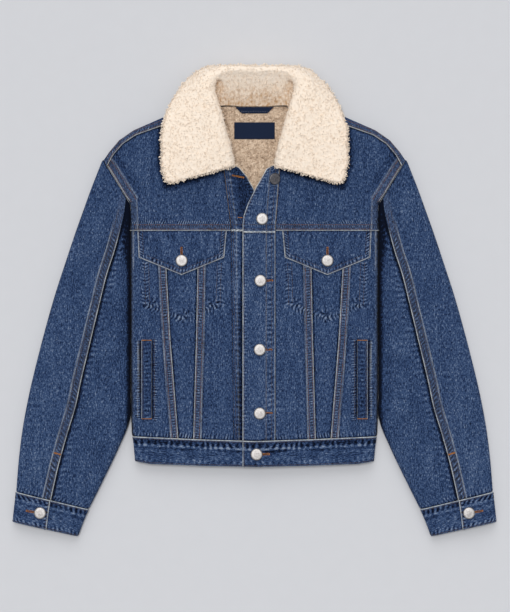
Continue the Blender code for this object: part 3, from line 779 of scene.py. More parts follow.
strand = curls.add("GeometryNodeCurveToMesh", Curve=strand, Profile_Curve=ring, Fill_Caps=True)
sized = curls.add("FunctionNodeRandomValue", {"data_type": "FLOAT"}, 1, _2=0.7, _3=1.25, Seed=8)
sized = curls.add("ShaderNodeMath", {"operation": "MULTIPLY"}, _0=sized, _1="Length")
curls.close(curls.add("GeometryNodeInstanceOnPoints", Points=spots, Instance=strand, Rotation=upright,
                      Scale=sized))


def grow_pile(name, piece, slot, part, amount, density, length, seed, finish):
    """Curls over a piece, as many at each point of its outer face as amount says."""
    mesh = piece.data.copy()
    values = np.zeros(len(mesh.vertices))
    values[:amount.size] = amount.ravel()
    mesh.attributes.new("pile", "FLOAT", "POINT").data.foreach_set("value", values)
    made = curls.run(name.replace("cloth", part), mesh, Density=density, Length=length * MM, Seed=seed,
                     Material=finish)
    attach(made, "root")
    return made


right = (LINING_FOOT[1], (184.0, -180.0), (184.0, 150.0), (199.0, 178.0), (209.0, 194.0), (213.0, 202.0))
top = ((0.0, 311.8), (51.0, 311.3), (63.0, 301.0), (144.0, 276.0), (186.0, 256.0), (203.0, 236.0),
       (213.0, 202.0))
half = np.concatenate((np.linspace(0.0, 0.36, 56), np.linspace(0.36, 1.0, 12)[1:]))
rows = np.concatenate((np.linspace(0.0, 0.74, 24)[:-1], np.linspace(0.74, 1.0, 112)))
u, v = spread(both_ways(half), rows)
plan = between((LINING_FOOT[0], top[0]), right, LINING_FOOT, top, abs(u), v)
lining = Panel(np.stack((np.sign(u) * plan[..., 0], plan[..., 1], np.full(u.shape, LINING_TOP)), -1))
shown = smooth((62.0 - abs(lining.x)) / 6.0) * smooth((lining.y - 178.0) / 6.0)
under_label = smooth((36.0 - abs(lining.x)) / 3.0) * smooth((16.0 - abs(lining.y - 273.0)) / 3.0)
dome = nubs(lining.base, 5.2) * 0.7 + nubs(lining.base, 2.6, 9) * 0.3
lining.rise += (1.5 * dome - 0.9) * shown * (1.0 - under_label) - 0.6 * under_label
# The tops of the nubs are lightened with painted light and the hollows between them darkened with painted
# shade.
lining.fade += (dome - 0.4) * shown
lining_pile = {"part": "pile", "amount": shown * (1.0 - under_label), "density": 225000.0,
               "length": 1.9, "seed": 2, "finish": tan_pile}
lining_piece = lining.sew("back_lining_cloth", SHERPA - 1.6, ["back_lining"], "lining", tan_pile,
                          [back_piece], coarse=3, pile=[lining_pile])


# ---- front yokes ----
# Left and right yokes from the shoulder to the chest. Each lower edge is turned and felled over the
# lower front with two rows of stitches, which draw the denim into short slanting puckers, and the
# armhole edge is felled over the sleeve.

YOKE_Y = 118.0
YOKE_LAP = 112.3         # lower edge of the front yokes, felled over the lower fronts
YOKE_SIDE = 197.6
NECK_EDGE = ((54.0, 262.0), (62.0, 288.0), (71.0, 307.0))
PLACKET_INNER = {"left": ((33.0, WAIST_Y), (33.0, YOKE_Y), (40.0, 217.0)),
                 "right": ((33.0, WAIST_Y), (37.0, YOKE_Y), (49.0, 217.0))}
COLLAR_EDGE = ((24.0, 220.0), (40.0, 215.0), (139.0, 186.0), (149.0, 219.0), (149.0, 252.0),
               (146.0, 282.0))


def on_front(plan, lift=0.0):
    """Puts plan points on the front of the body."""
    x, y = plan[..., 0], plan[..., 1]
    return np.stack((x, y, front_height(x, y) + lift), -1)


chest_lines, armhole_lines = [], []
for side, sign in SIDES:
    inner = PLACKET_INNER[side]
    foot, neck = inner[1][0] + 1.0, inner[2][0] + 1.0
    left_edge = ((foot, YOKE_LAP), (foot, YOKE_Y), (neck, 217.0)) + NECK_EDGE
    right_edge = ((YOKE_SIDE, YOKE_LAP), (YOKE_SIDE, YOKE_Y)) + ARMHOLE[:4] + ((235.0, 215.5),)
    top_edge = tuple((x - 0.9, y - 0.9) for x, y in reversed(SHOULDER_SEAM))
    low_edge = ((foot, YOKE_LAP), (YOKE_SIDE, YOKE_LAP))
    columns = np.concatenate((stops(170.0, 1.5)[:-8], 1.0 - fold_turn[::-1][2:] / 170.0))
    u, v = spread(np.unique(columns), stops(180.0, 1.6))
    base = on_front(between(left_edge, right_edge, low_edge, top_edge, u, v))
    yoke = Panel(mirror(base, sign), sign)
    yoke.sink(yoke.low, 13.0, -1.7)
    yoke.turn("low", radius=1.1, worn=0.95, width=1.4)
    yoke.strip(yoke.low, -5.0, 11.0, 0.35, 1.5, fade=-0.35)
    yoke.pucker(yoke.low, yoke.left, 8.0, 3.4, 0.42, 0.5, start=13.0, seed=4)
    yoke.pucker(yoke.low, yoke.left, 4.0, 3.0, 0.22, 0.2, start=6.0, seed=5)
    yoke.strip(yoke.right, -5.0, 13.5, 0.7, 2.0, fade=-0.2)
    yoke.rub(abs(yoke.right - 13.4), yoke.low, 0.22, 1.3)
    yoke.turn("right", radius=1.0, worn=0.85 * smooth((yoke.y - 155.0) / 8.0), width=1.3)
    # A soft trough beside the armhole band, darkened with painted shade.
    hollow = bell(yoke.right, 21.0, 6.0) * smooth((yoke.y - 165.0) / 25.0)
    yoke.lift -= 1.5 * hollow
    yoke.fade -= 0.42 * hollow
    # Painted shade where the back yoke's strip and the placket lap over, painted shadow under the collar,
    # and painted shade by the armpit beside the sleeve.
    yoke.sink(yoke.top, 3.0, 0.9, fade=-0.7)
    yoke.sink(yoke.left, 3.0, 0.6, fade=-0.4)
    under_collar, _ = line_place(abs(yoke.x), yoke.y, COLLAR_EDGE)
    yoke.fade -= 1.6 * near(under_collar, 13.0)
    yoke.fade -= 1.8 * near(yoke.right, 6.0) * smooth((140.0 - yoke.y) / 20.0)
    yoke.crease(mirrored(((150.0, 265.0), (128.0, 200.0), (120.0, 150.0)), sign), 14.0, 0.7, 0.10)
    yoke.crease(mirrored(((96.0, 190.0), (84.0, 150.0), (80.0, 128.0)), sign), 10.0, -0.6, -0.10)
    yoke.sew("front_yoke_cloth_" + side, DENIM, ["front_yoke_" + side], lies_on=[lining_piece])
    chest_lines += [yoke.thread("low", 2.6, 3.0, 153.0), yoke.thread("low", 9.6, 3.0, 153.0)]
    armhole_lines += [yoke.thread("right", 2.2, 47.0, 175.0), yoke.thread("right", 10.5, 50.0, 175.0)]
stitch("chest_stitching", chest_lines)
stitch("armhole_stitching", armhole_lines)


# ---- lower fronts ----
# Each lower front is three panels, joined by two felled seams that run down from the pocket to the
# waistband. The centre and side panels lap over the middle one, and the chest pocket is sewn on
# from behind, so only its two rows of stitches and their puckers show below the flap.

V_SEAMS = ((118.0, 89.6, 144.0), (45.0, 91.3, 140.5), (-61.0, 93.4, 134.5), (-226.0, 98.2, 121.2))
POCKET = ((176.0, 104.0), (174.0, -6.0), (114.0, -30.0), (55.0, -6.0), (53.0, 104.0))
POCKET_INNER = ((169.5, 104.0), (167.8, -2.0), (114.0, -23.0), (61.3, -2.0), (59.5, 104.0))
POCKET_KNOTS = ((166.0, -3.0), (115.0, -21.0), (66.0, -3.0))
WELT = {"inner": 164.0, "outer": 181.0, "top": -62.0, "low": -189.0}
SEAM_BAND = 11.8         # width of a felled seam
HALF_GAP = 0.15


def lower_front(inner, outer, u, v):
    """Plan of a panel between two lines x(y): its lower edge follows the waistband."""
    x = lerp(inner(WAIST_Y), outer(WAIST_Y), u)
    y = lerp(waist(x, 1) + WAIST_SEAM, YOKE_Y - GAP, v)
    return np.stack((lerp(inner(y), outer(y), u), y), -1)


fronts = {"left": [], "right": []}
seam_lines, pocket_lines, foot_lines, welt_lines = [], [], [], []
for side, sign in SIDES:
    placket_edge = [(y, x) for x, y in PLACKET_INNER[side]]
    runs = (
        ("center", lambda y: table_row(placket_edge, y, 1) + 0.5,
         lambda y: table_row(V_SEAMS, y, 1) - HALF_GAP, 60.0),
        ("middle", lambda y: table_row(V_SEAMS, y, 1) + HALF_GAP,
         lambda y: table_row(V_SEAMS, y, 2) - HALF_GAP, 40.0),
        ("side", lambda y: table_row(V_SEAMS, y, 2) + HALF_GAP, half_width, 62.0),
    )
    for name, inner, outer, width in runs:
        columns = stops(width, 1.5)
        if name == "side":
            columns = np.unique(np.concatenate((columns[:-11], 1.0 - fold_turn[::-1] / width)))
        u, v = spread(columns, stops(338.0, 1.75))
        base = on_front(lower_front(inner, outer, u, v))
        panel = Panel(mirror(base, sign), sign)
        panel.sink(panel.top, 10.0, 1.8)
        # Painted shade under the yoke's lapped edge and above the waistband.
        panel.fade -= 0.35 * near(panel.top, 14.0)
        panel.sink(panel.low, 3.0, 0.7, fade=-0.8)
        panel.pucker(panel.low, panel.left, 9.0, 5.0, 0.4, 0.2, start=4.0, seed=7)
        if name == "middle":
            # Painted shade where the centre and side panels lap over.
            for seam in (panel.left, panel.right):
                panel.sink(seam, 4.0, 0.8, fade=-1.2)
        else:
            seam = "right" if name == "center" else "left"
            band = getattr(panel, seam)
            panel.turn(seam, worn=0.85, width=1.4)
            panel.strip(band, -5.0, SEAM_BAND, 0.8, 1.6, fade=-0.22)
            panel.pucker(band, panel.low, 6.0, 4.4, 0.22, 0.1, start=5.6, seed=8)
            panel.rub(abs(band - SEAM_BAND), panel.low, 0.28, 1.1)
            # Painted shade beside the band's stitched edge.
            panel.fade -= 0.5 * bell(band - SEAM_BAND, 2.2, 1.5)
            seam_lines += [panel.thread(seam, 2.3), panel.thread(seam, 9.6)]
        if name == "center":
            # Painted shade under the placket's lapped edge.
            panel.sink(panel.left, 3.0, 0.6, fade=-0.45)
        if name == "side":
            panel.lift += 0.75 * near(panel.right, 4.0)
            panel.strip(panel.right, -5.0, 8.5, 0.5, 1.2)
            panel.rub(abs(panel.right - 8.0), panel.low, 0.35 * smooth((panel.y - 40.0) / 30.0), 1.1)
            # Painted shade in the valley between the side fold and the sleeve.
            panel.fade -= 2.2 * near(panel.right, 7.0)
            # The pocket's mouth beside the welt's open edge, and a groove beside its sewn edge, pressed
            # in and darkened with painted shade.
            past_welt = abs(panel.x) - WELT["outer"]
            mouth = bell(past_welt, 1.8, 1.5)
            mouth += 0.8 * bell(abs(panel.x) - WELT["inner"], -1.2, 1.3)
            mouth *= smooth((WELT["top"] - panel.y) / 3.0) * smooth((panel.y - WELT["low"]) / 3.0)
            panel.rise -= 0.9 * mouth
            panel.fade -= 2.2 * mouth
            beside = (mouth.max(axis=1) > 0.5)[:, None]
            panel.rub(abs(past_welt - 5.5), panel.low, 0.2 * beside, 1.1)
            welt_away = abs(abs(panel.x) - (WELT["inner"] + WELT["outer"]) / 2.0) - 8.5
            inside = smooth((WELT["top"] + 4.0 - panel.y) / 3.0)
            inside = inside * smooth((panel.y - WELT["low"] + 4.0) / 3.0)
            panel.pucker(welt_away, panel.low, 6.0, 4.2, 0.3 * inside, 0.1, start=5.5, fade=inside,
                         seed=6)
        away, along_it = line_place(abs(panel.x), panel.y, POCKET)
        puckered = smooth((66.0 - panel.y) / 6.0)
        panel.pucker(away, along_it, 7.0, 5.4, 0.36 * puckered, 0.4, start=2.5, fade=0.85 * puckered,
                     seed=9)
        for at_x, at_y in POCKET_KNOTS:
            from_x, from_y = abs(panel.x) - at_x, panel.y - at_y
            knot, round_it = np.hypot(from_x, from_y), np.arctan2(from_y, from_x) * 6.0
            panel.pucker(knot, round_it, 9.0, 6.3, 0.35, 0.3, start=6.0, fade=0.75, seed=3)
            panel.fade -= 0.45 * bell(knot, 2.0, 2.5)
        panel.sew(f"front_{name}_cloth_{side}", DENIM, [f"front_{name}_{side}"], lies_on=[lining_piece])
        fronts[side].append(panel)

    def lay_on_front(plan):
        """Plan points put on whichever panel of this front lies there."""
        line = []
        for x, y in plan:
            nearest = min(fronts[side], key=lambda panel: abs(panel.x - sign * x).min())
            line += nearest.lay([(sign * x, y)])
        return line

    for outline in (POCKET, POCKET_INNER):
        corners_of = [(outline[0][0], 60.0), *outline[1:-1], (outline[-1][0], 60.0)]
        for a, b in zip(corners_of[:-1], corners_of[1:]):
            lines = pocket_lines if abs(a[0] - b[0]) < 5.0 else foot_lines
            lines.append(lay_on_front(line_between(a, b, 2.0)))
    frame_of_welt = [(WELT["inner"] - 4.0, WELT["top"]), (WELT["inner"] - 4.0, WELT["low"])]
    welt_lines.append(lay_on_front(line_between(*frame_of_welt, 2.0)))
stitch("seam_stitching", seam_lines)
stitch("pocket_stitching", pocket_lines, thread=dull_brown)
stitch("pocket_foot_stitching", foot_lines, size=(2.6, 0.9, 0.6),
       thread=thread_finish("indigo_thread", (0.05, 0.07, 0.12)))
stitch("welt_stitching", welt_lines, thread=dull_brown)


# ---- plackets ----
# Doubled strips where the fronts close: the left one lies on the right one and turns away at the
# neck. Each is stitched down along its seam, and the chest seam runs on across both.

FOLDED = 2.2
OVERLAP_X = -19.0
UNDERLAP_X = 12.0
FRONT_BUTTONS = ((12.2, 131.2), (9.4, 32.4), (8.3, -77.8), (8.4, -179.5))


def slit(panel, a, b):
    """Presses the cut of a buttonhole into a panel and darkens it with painted shade."""
    away, along_it = line_place(panel.x, panel.y, (a, b))
    cut = bell(away, 0.0, 0.9) * (panel.normal[..., 2] > 0.2)
    panel.rise -= 0.8 * cut
    panel.fade -= 1.6 * cut


edges_of = {
    "right": (tuple((-x, y) for x, y in PLACKET_INNER["right"]),
              ((UNDERLAP_X, WAIST_Y), (UNDERLAP_X, 150.0), (-2.0, 181.0), (-13.0, 200.0), (-24.0, 213.0),
               (-34.0, 217.5))),
    "left": (((OVERLAP_X, WAIST_Y), (OVERLAP_X, 122.0), (-17.5, 136.0), (-10.5, 156.0), (2.6, 182.0),
              (12.0, 198.0), (19.0, 211.0), (30.0, 217.0)), PLACKET_INNER["left"]),
}
placket_lines, hole_lines, tack_lines = [], [], []
for side in ("right", "left"):
    left_edge, right_edge = ([(line[0][0], waist(line[0][0], 1) + WAIST_SEAM), *line[1:]]
                             for line in edges_of[side])
    low_edge, top_edge = zip(*((line[0], line[-1]) for line in (left_edge, right_edge)))
    u, v = spread(stops(50.0, 1.4), stops(437.0, 1.6))
    plan = between(left_edge, right_edge, low_edge, top_edge, u, v)
    lift = lerp(FOLDED + 0.6, 0.2, smooth((plan[..., 0] - 15.0) / 18.0)) if side == "left" else 0.0
    strip = Panel(on_front(plan, lift))
    seam = "right" if side == "left" else "left"
    opening = "left" if side == "left" else "right"
    at_seam, at_opening = getattr(strip, seam), getattr(strip, opening)
    # Painted shade above the waistband.
    strip.sink(strip.low, 3.0, 0.7, fade=-0.8)
    strip.fade += 0.14 + 0.3 * (uneven(strip.left / 11.0, strip.low / 26.0, 15) - 0.5)
    strip.turn(opening, radius=1.1, worn=1.0, width=1.35)
    strip.pucker(at_opening, strip.low, 6.0, 5.2, 0.24, 0.0, start=3.6, fade=0.55, seed=12)
    strip.pucker(at_seam, strip.low, 8.0, 7.5, 0.28, 0.1, start=8.0, fade=0.55, seed=13)
    if side == "left":
        strip.rub(at_seam, strip.low, 0.45, 1.2)
        strip.rub(abs(at_seam - 15.0), strip.low, 0.22, 0.9)
    else:
        strip.fade -= 0.45 * near(at_seam, 3.0)
        strip.rub(abs(at_seam - 8.0), strip.low, 0.15, 1.0)
        # Painted shade along the left placket's lapped edge, and under the collar at the neck.
        shaded = lerp(5.0, 13.0, smooth((70.0 - strip.y) / 140.0))
        shaded = smooth(1.0 + (strip.x - OVERLAP_X) / shaded)
        strip.fade -= 1.5 * shaded * smooth((128.0 - strip.y) / 20.0)
        strip.fade -= 1.0 * smooth((strip.y - 112.0) / 30.0) * smooth(at_seam / 22.0)
    above = strip.y - YOKE_LAP + (2.6 if side == "left" else 0.0)
    strip.rise += 0.9 * smooth((above + 0.4) / 0.9) * (1.0 - smooth((above - 13.0) / 20.0))
    # Painted shade under the chest seam's lapped edge, and a slightly darker band.
    strip.fade -= 0.8 * bell(above, -1.6, 1.2) + 0.12 * smooth(above / 2.0) * smooth(12.0 - above)
    strip.rub(abs(above - 0.7), strip.left, 1.0, 1.3)
    strip.pucker(above, strip.left, 7.0, 3.2, 0.3, 0.4, start=14.0, seed=14)
    for y in (YOKE_LAP + 2.6, YOKE_LAP + 9.6):
        placket_lines.append(strip.lay(line_between((strip.x[0, 0], y), (strip.x[0, -1], y))))
    if side == "left":
        placket_lines += [strip.thread("right", 5.6), strip.thread("right", 14.6)]
        placket_lines.append(strip.thread("left", 2.4))
        for x, y in FRONT_BUTTONS[1:]:
            slit(strip, (x + 4.0, y), (x + 18.5, y + 0.3))
            strip.crease(((x + 10.0, y - 2.0), (x + 16.0, y - 14.0)), 5.0, 0.5, 0.12)
    else:
        placket_lines.append(strip.thread("left", 3.4))
        slit(strip, (-34.0, 200.6), (-18.0, 197.4))
    strip.sew("placket_cloth_" + side, FOLDED, ["placket_" + side], lies_on=[lining_piece])
    if side == "left":
        hole_lines += [buttonhole(strip, (x + 3.0, y), (x + 20.0, y + 0.3)) for x, y in FRONT_BUTTONS[1:]]
    else:
        hole_lines.append(buttonhole(strip, (-36.0, 201.0), (-17.0, 197.2), 2.6))
        tack_lines.append(strip.lay(line_between((-26.5, 133.6), (-19.5, 133.0))))
stitch("placket_stitching", placket_lines, thread=dull_brown)
tack("placket_buttonholes", hole_lines, 1.5)
tack("placket_tack", tack_lines)


# ---- waistband ----
# A straight doubled band laid over the lower edge of the body and topstitched all round: two front
# halves, the left one on the right one, and one across the back.

BAND = 2.6
WAIST_BUTTON = (3.3, -244.8)
band_lines = []
for side, sign, inner in (("right", -1.0, -UNDERLAP_X), ("left", 1.0, OVERLAP_X)):
    width = half_width(WAIST_Y - 20.0) - inner
    columns = stops(width, 1.5)
    columns = columns[columns < 1.0 - FOLD_R / width]
    columns = np.unique(np.concatenate((columns, 1.0 - fold_turn[::-1] / width)))
    u, v = spread(columns, stops(42.0, 1.2))
    x = lerp(inner, half_width(WAIST_Y - 20.0), u)
    y = lerp(waist(x, 2), waist(x, 1), v)
    x = lerp(inner, half_width(y), u)
    y = lerp(waist(x, 2), waist(x, 1), v)
    lift = lerp(BAND + 1.0, 0.5, smooth((x - 20.0) / 50.0)) if side == "left" else 0.5
    base = np.stack((x, y, front_height(x, y) + lift * rounding(fold_distance(x, y))), -1)
    band = Panel(mirror(base, sign), sign)
    band.cut_across()
    band.rise += 0.7 * near(band.top, 12.0)
    band.turn("low", "top", radius=1.4)
    band.rub(band.top, band.left, 1.0, 1.3)
    band.rub(band.low, band.left, 0.45, 1.1)
    band.turn("left", radius=1.4, worn=0.9, width=1.3)
    band.pucker(band.top, band.left, 8.0, 9.6, 0.55, 0.2, start=10.0, fade=0.9, seed=21)
    band.pucker(band.top, band.left, 3.5, 6.2, 0.25, 0.1, start=5.0, fade=0.5, seed=22)
    band.pucker(band.low, band.left, 8.0, 9.4, 0.3, 0.2, start=6.0, fade=0.35, seed=23)
    band.fade -= 0.75 * smooth((band.top - 2.0) / 2.0) * smooth((12.0 - band.top) / 3.0)
    crest = 13.6 + 2.4 * (uneven(band.left / 16.0, 0.0, 25) - 0.5)
    broken = 0.2 + 1.1 * uneven(band.left / 9.0, 0.0, 26)
    band.fade += 1.15 * broken * bell(band.top, crest, 1.6)
    band.fade -= 0.9 * broken * bell(band.top - crest, 3.8, 1.9)
    band.fade -= 0.3 * near(band.low, 7.0)
    band.fade += 0.7 * (uneven(band.left / 12.0, band.low / 6.0, 28) - 0.5)
    band.crease(mirrored(((60.0, -239.0), (100.0, -243.0), (150.0, -238.0)), sign), 5.0, 0.6, 0.12)
    band_lines += [band.thread("top", 2.6), band.thread("low", 2.8), band.thread("left", 2.6)]
    if side == "left":
        x, y = WAIST_BUTTON
        slit(band, (x + 7.0, y), (x + 18.0, y + 0.4))
        band.crease(((14.0, -243.5), (34.0, -239.5), (62.0, -236.5)), 2.8, -1.1, -0.8)
        band.crease(((18.0, -237.5), (38.0, -235.0), (66.0, -232.0)), 3.2, 0.5, 0.22)
    band.sew("waistband_cloth_" + side, BAND, ["waistband_" + side], lies_on=[lining_piece])
stitch("waistband_stitching", band_lines, thread=dull_brown)
tack("waistband_buttonhole", [buttonhole(band, (x + 6.0, y), (x + 20.5, y + 0.4), 3.4)], 1.6)

u, v = spread(across_body(44), stops(41.0, 3.5))
x = u * half_width(-237.0)
y = lerp(waist(x, 2) + 1.0, waist(x, 1), v)
x = u * half_width(y)
back_band = Panel(back_base(x, y), -1.0)
back_band.cut_across()
back_band.turn("low", "top", radius=1.2, worn=0.5)
back_band.sew("waistband_cloth_back", BAND, ["waistband_back"], coarse=3)


# ---- sleeves ----
# Each sleeve is an outer and an inner piece. The outer one is felled over the inner one in front, on a
# band that runs from the armhole to the cuff and ends at a bar tack over the cuff's opening.

BY_BODY = 199.3          # where the inner fold lies beside the body
# down the sleeve: x and y of the outer fold, of the inner fold, the height, and the front seam's share
SLEEVE = (
    (243.6, 226.4, 200.2, 156.4, 18.0, 0.12), (261.5, 181.0, BY_BODY, 139.0, 18.5, 0.13),
    (274.5, 145.0, BY_BODY, 110.0, 19.0, 0.19), (288.0, 107.0, BY_BODY, 70.0, 20.0, 0.27),
    (302.0, 65.0, BY_BODY, 25.0, 20.0, 0.36), (320.5, 8.0, BY_BODY, -35.0, 20.0, 0.42),
    (336.0, -47.0, BY_BODY, -95.0, 19.5, 0.47), (351.0, -105.0, BY_BODY, -150.0, 19.0, 0.51),
    (361.5, -150.0, 200.5, -192.0, 18.5, 0.53), (371.0, -200.0, 219.0, -238.0, 18.0, 0.535),
    (377.5, -250.0, 242.0, -286.0, 17.0, 0.53), (382.0, -305.0, 265.5, -333.0, 16.0, 0.515))
# creases: points on the left sleeve, width, swell, and tone: paler from wear on a ridge, darker with
# painted shade in a trough
INNER_CREASES = (
    (((205.0, -60.0), (232.0, -78.0), (262.0, -84.0)), 9.0, 1.0, 0.16),
    (((204.0, -84.0), (226.0, -98.0), (250.0, -104.0)), 8.0, -0.9, -0.20),
    (((212.0, -170.0), (240.0, -176.0), (262.0, -172.0)), 8.0, 0.8, 0.12),
    (((268.0, -316.0), (276.0, -270.0), (274.0, -230.0)), 9.0, 0.9, 0.15))
OUTER_CREASES = (
    (((228.0, 176.0), (252.0, 120.0), (262.0, 60.0)), 12.0, 1.0, 0.10),
    (((216.0, 160.0), (236.0, 110.0), (246.0, 60.0)), 9.0, -1.0, -0.12),
    (((300.0, -20.0), (318.0, -80.0), (322.0, -130.0)), 14.0, 0.9, 0.08),
    (((352.0, -300.0), (350.0, -262.0), (342.0, -222.0)), 10.0, 1.0, 0.14),
    (((330.0, -312.0), (332.0, -280.0), (328.0, -250.0)), 7.0, -0.8, -0.14))
SEAM_GAP = 0.5
UNDER_SEAM = 0.3
SLEEVE_TACK_Y = -245.0


def smooth_rows(table, t):
    """Rows at places t (0 to 1) on a smooth curve through the rows of a table."""
    table = np.array(table, float)
    at = np.clip(t, 0.0, 1.0) * (len(table) - 1)
    i = np.minimum(at.astype(int), len(table) - 2)
    f = (at - i)[:, None]
    a, b, c, d = (table[np.clip(i + k, 0, len(table) - 1)] for k in (-1, 0, 1, 2))
    return b + 0.5 * f * (c - a + f * (2 * a - 5 * b + 4 * c - d + f * (3 * (b - c) + d - a)))


def tube(rows, place):
    """Points of a flattened tube. place runs over its top from the inner fold (0) to the outer one
    (1), and on beneath it past either fold."""
    ox, oy, ix, iy, high = (rows[:, k:k + 1] for k in range(5))
    width = np.hypot(ox - ix, oy - iy)
    f = np.where(place < 0.0, -place, np.where(place > 1.0, 2.0 - place, place))
    turned = rounding(np.minimum(f, 1.0 - f) * width)
    on_top = (place >= 0.0) & (place <= 1.0)
    z = np.where(on_top, lerp(FOLD_Z, high, turned), FOLD_Z * (1.0 - turned))
    return np.stack((lerp(ix, ox, f), lerp(iy, oy, f), z), -1)


down_sleeve = np.linspace(0.0045, 0.9955, 296)
down_sleeve = np.concatenate(([0.0, 0.0008, 0.002], down_sleeve, [0.998, 0.9992, 1.0]))
sleeve_rows = smooth_rows(SLEEVE, down_sleeve)
fold_back = fold_turn[::-1] / FOLD_R
wide = np.hypot(sleeve_rows[:, 0] - sleeve_rows[:, 2], sleeve_rows[:, 1] - sleeve_rows[:, 3])[:, None]
turn_share = FOLD_R / wide
seam_share = sleeve_rows[:, 5:6]
sleeve_lines, sleeve_tacks = [], []
for side, sign in SIDES:
    first = np.minimum(turn_share, 0.8 * seam_share)
    last = seam_share - SEAM_GAP / wide
    beneath = lerp(-UNDER_SEAM + SEAM_GAP / wide, -turn_share, np.linspace(0.0, 1.0, 9)[:-1])
    on_top = lerp(first, last, np.concatenate((np.linspace(0.0, 0.985, 44), [0.993, 1.0])))
    place = np.concatenate((beneath, -turn_share * fold_back,
                            first * fold_turn[1:-1] / FOLD_R, on_top), 1)
    base = tube(sleeve_rows, place)
    inner = Panel(mirror(base, sign), -sign)
    front_side = inner.normal[..., 2] > 0.1
    # Painted shade where the cuff, the armhole band and the outer piece lap over, and beside the body.
    inner.sink(inner.low, 4.0, 0.8, fade=-0.7)
    inner.sink(inner.top, 3.0, 0.7, fade=-0.6)
    inner.sink(inner.right, 5.0, 0.9, fade=-1.9)
    by_body = abs(inner.x) - BY_BODY
    reach = lerp(7.5, 17.0, smooth((inner.y - 40.0) / 70.0))
    inner.fade -= (0.34 * near(by_body, 26.0) + 2.0 * near(by_body, reach)) * front_side
    inner.lift += 0.8 * near(by_body, 6.0) * smooth((inner.y + 196.0) / 12.0)
    # Painted shade, deeper towards the shoulder.
    inner.fade -= 0.15 * smooth((inner.y - 20.0) / 120.0)
    inner.pucker(inner.right, inner.low, 9.0, 9.0, 0.2 * front_side, 0.3, start=8.0, fade=0.4, seed=31)
    inner.pucker(inner.top, inner.left, 11.0, 5.5, 0.4 * front_side, 0.1, start=4.0, fade=0.5, seed=32)
    for line, *size in INNER_CREASES:
        inner.crease(mirrored(line, sign), *size)
    inner.sew("sleeve_inner_cloth_" + side, DENIM, ["sleeve_inner_" + side])

    first = seam_share + SEAM_GAP / wide
    across = np.concatenate(([0.0, 0.004, 0.010, 0.018, 0.028], np.linspace(0.043, 1.0, 52)))
    on_top = lerp(first, 1.0 - turn_share, across)
    beneath = lerp(1.0 + turn_share, 2.0 - UNDER_SEAM, np.linspace(0.0, 1.0, 12)[1:])
    place = np.concatenate((on_top, 1.0 - turn_share * fold_back[1:],
                            1.0 + turn_share * fold_turn[1:] / FOLD_R, beneath), 1)
    base = tube(sleeve_rows, place)
    outer = Panel(mirror(base, sign), -sign)
    front_side = outer.normal[..., 2] > 0.1
    shown_seam = smooth((outer.low - 40.0) / 40.0)
    # Painted shade where the cuff and the armhole band lap over.
    outer.sink(outer.low, 4.0, 0.8, fade=-0.75)
    outer.sink(outer.top, 3.0, 0.7, fade=-0.6)
    outer.turn("left", radius=1.1)
    outer.rub(outer.left, outer.low, 0.95 * shown_seam, 1.5)
    outer.strip(outer.left, -5.0, 13.4, 0.8, 1.6, fade=-0.42 * shown_seam)
    outer.rub(abs(outer.left - 13.6), outer.low, 0.34 * shown_seam, 1.2)
    outer.pucker(outer.left, outer.low, 6.5, 6.0, 0.32, 0.0, start=6.6, fade=0.8 * shown_seam, seed=33)
    ladder = smooth((SLEEVE_TACK_Y - outer.y) / 10.0)
    outer.pucker(outer.left, outer.low, 8.0, 8.0, 0.5 * ladder, 0.0, start=7.0, fade=ladder, seed=34)
    outer.pucker(outer.top, outer.left, 12.0, 5.5, 0.45 * front_side, 0.1, start=4.0, fade=0.5, seed=35)
    # Painted shade on the upper sleeve beside the body.
    outer.fade -= 0.2 * smooth((outer.y - 90.0) / 110.0) * smooth((238.0 - abs(outer.x)) / 40.0)
    outer.fade += 0.10 * smooth((abs(outer.x) - 290.0) / 40.0) * smooth((60.0 - outer.y) / 60.0)
    for line, *size in OUTER_CREASES:
        outer.crease(mirrored(line, sign), *size)
    outer.sew("sleeve_outer_cloth_" + side, DENIM, ["sleeve_outer_" + side])
    sleeve_lines += [outer.thread("left", 2.6, 30.0), outer.thread("left", 10.4, 30.0)]
    x, y, _ = next(point for point, _ in outer.thread("left", 1.0) if point[1] < SLEEVE_TACK_Y)
    sleeve_tacks.append(outer.lay(line_between((x, y), (x + sign * 11.0, y + 3.0))))
stitch("sleeve_stitching", sleeve_lines, thread=dull_brown)
tack("sleeve_tacks", sleeve_tacks, 3.8)


# ---- cuffs ----
# A doubled strip wound round each wrist and lapped over itself in front, where it is buttoned.

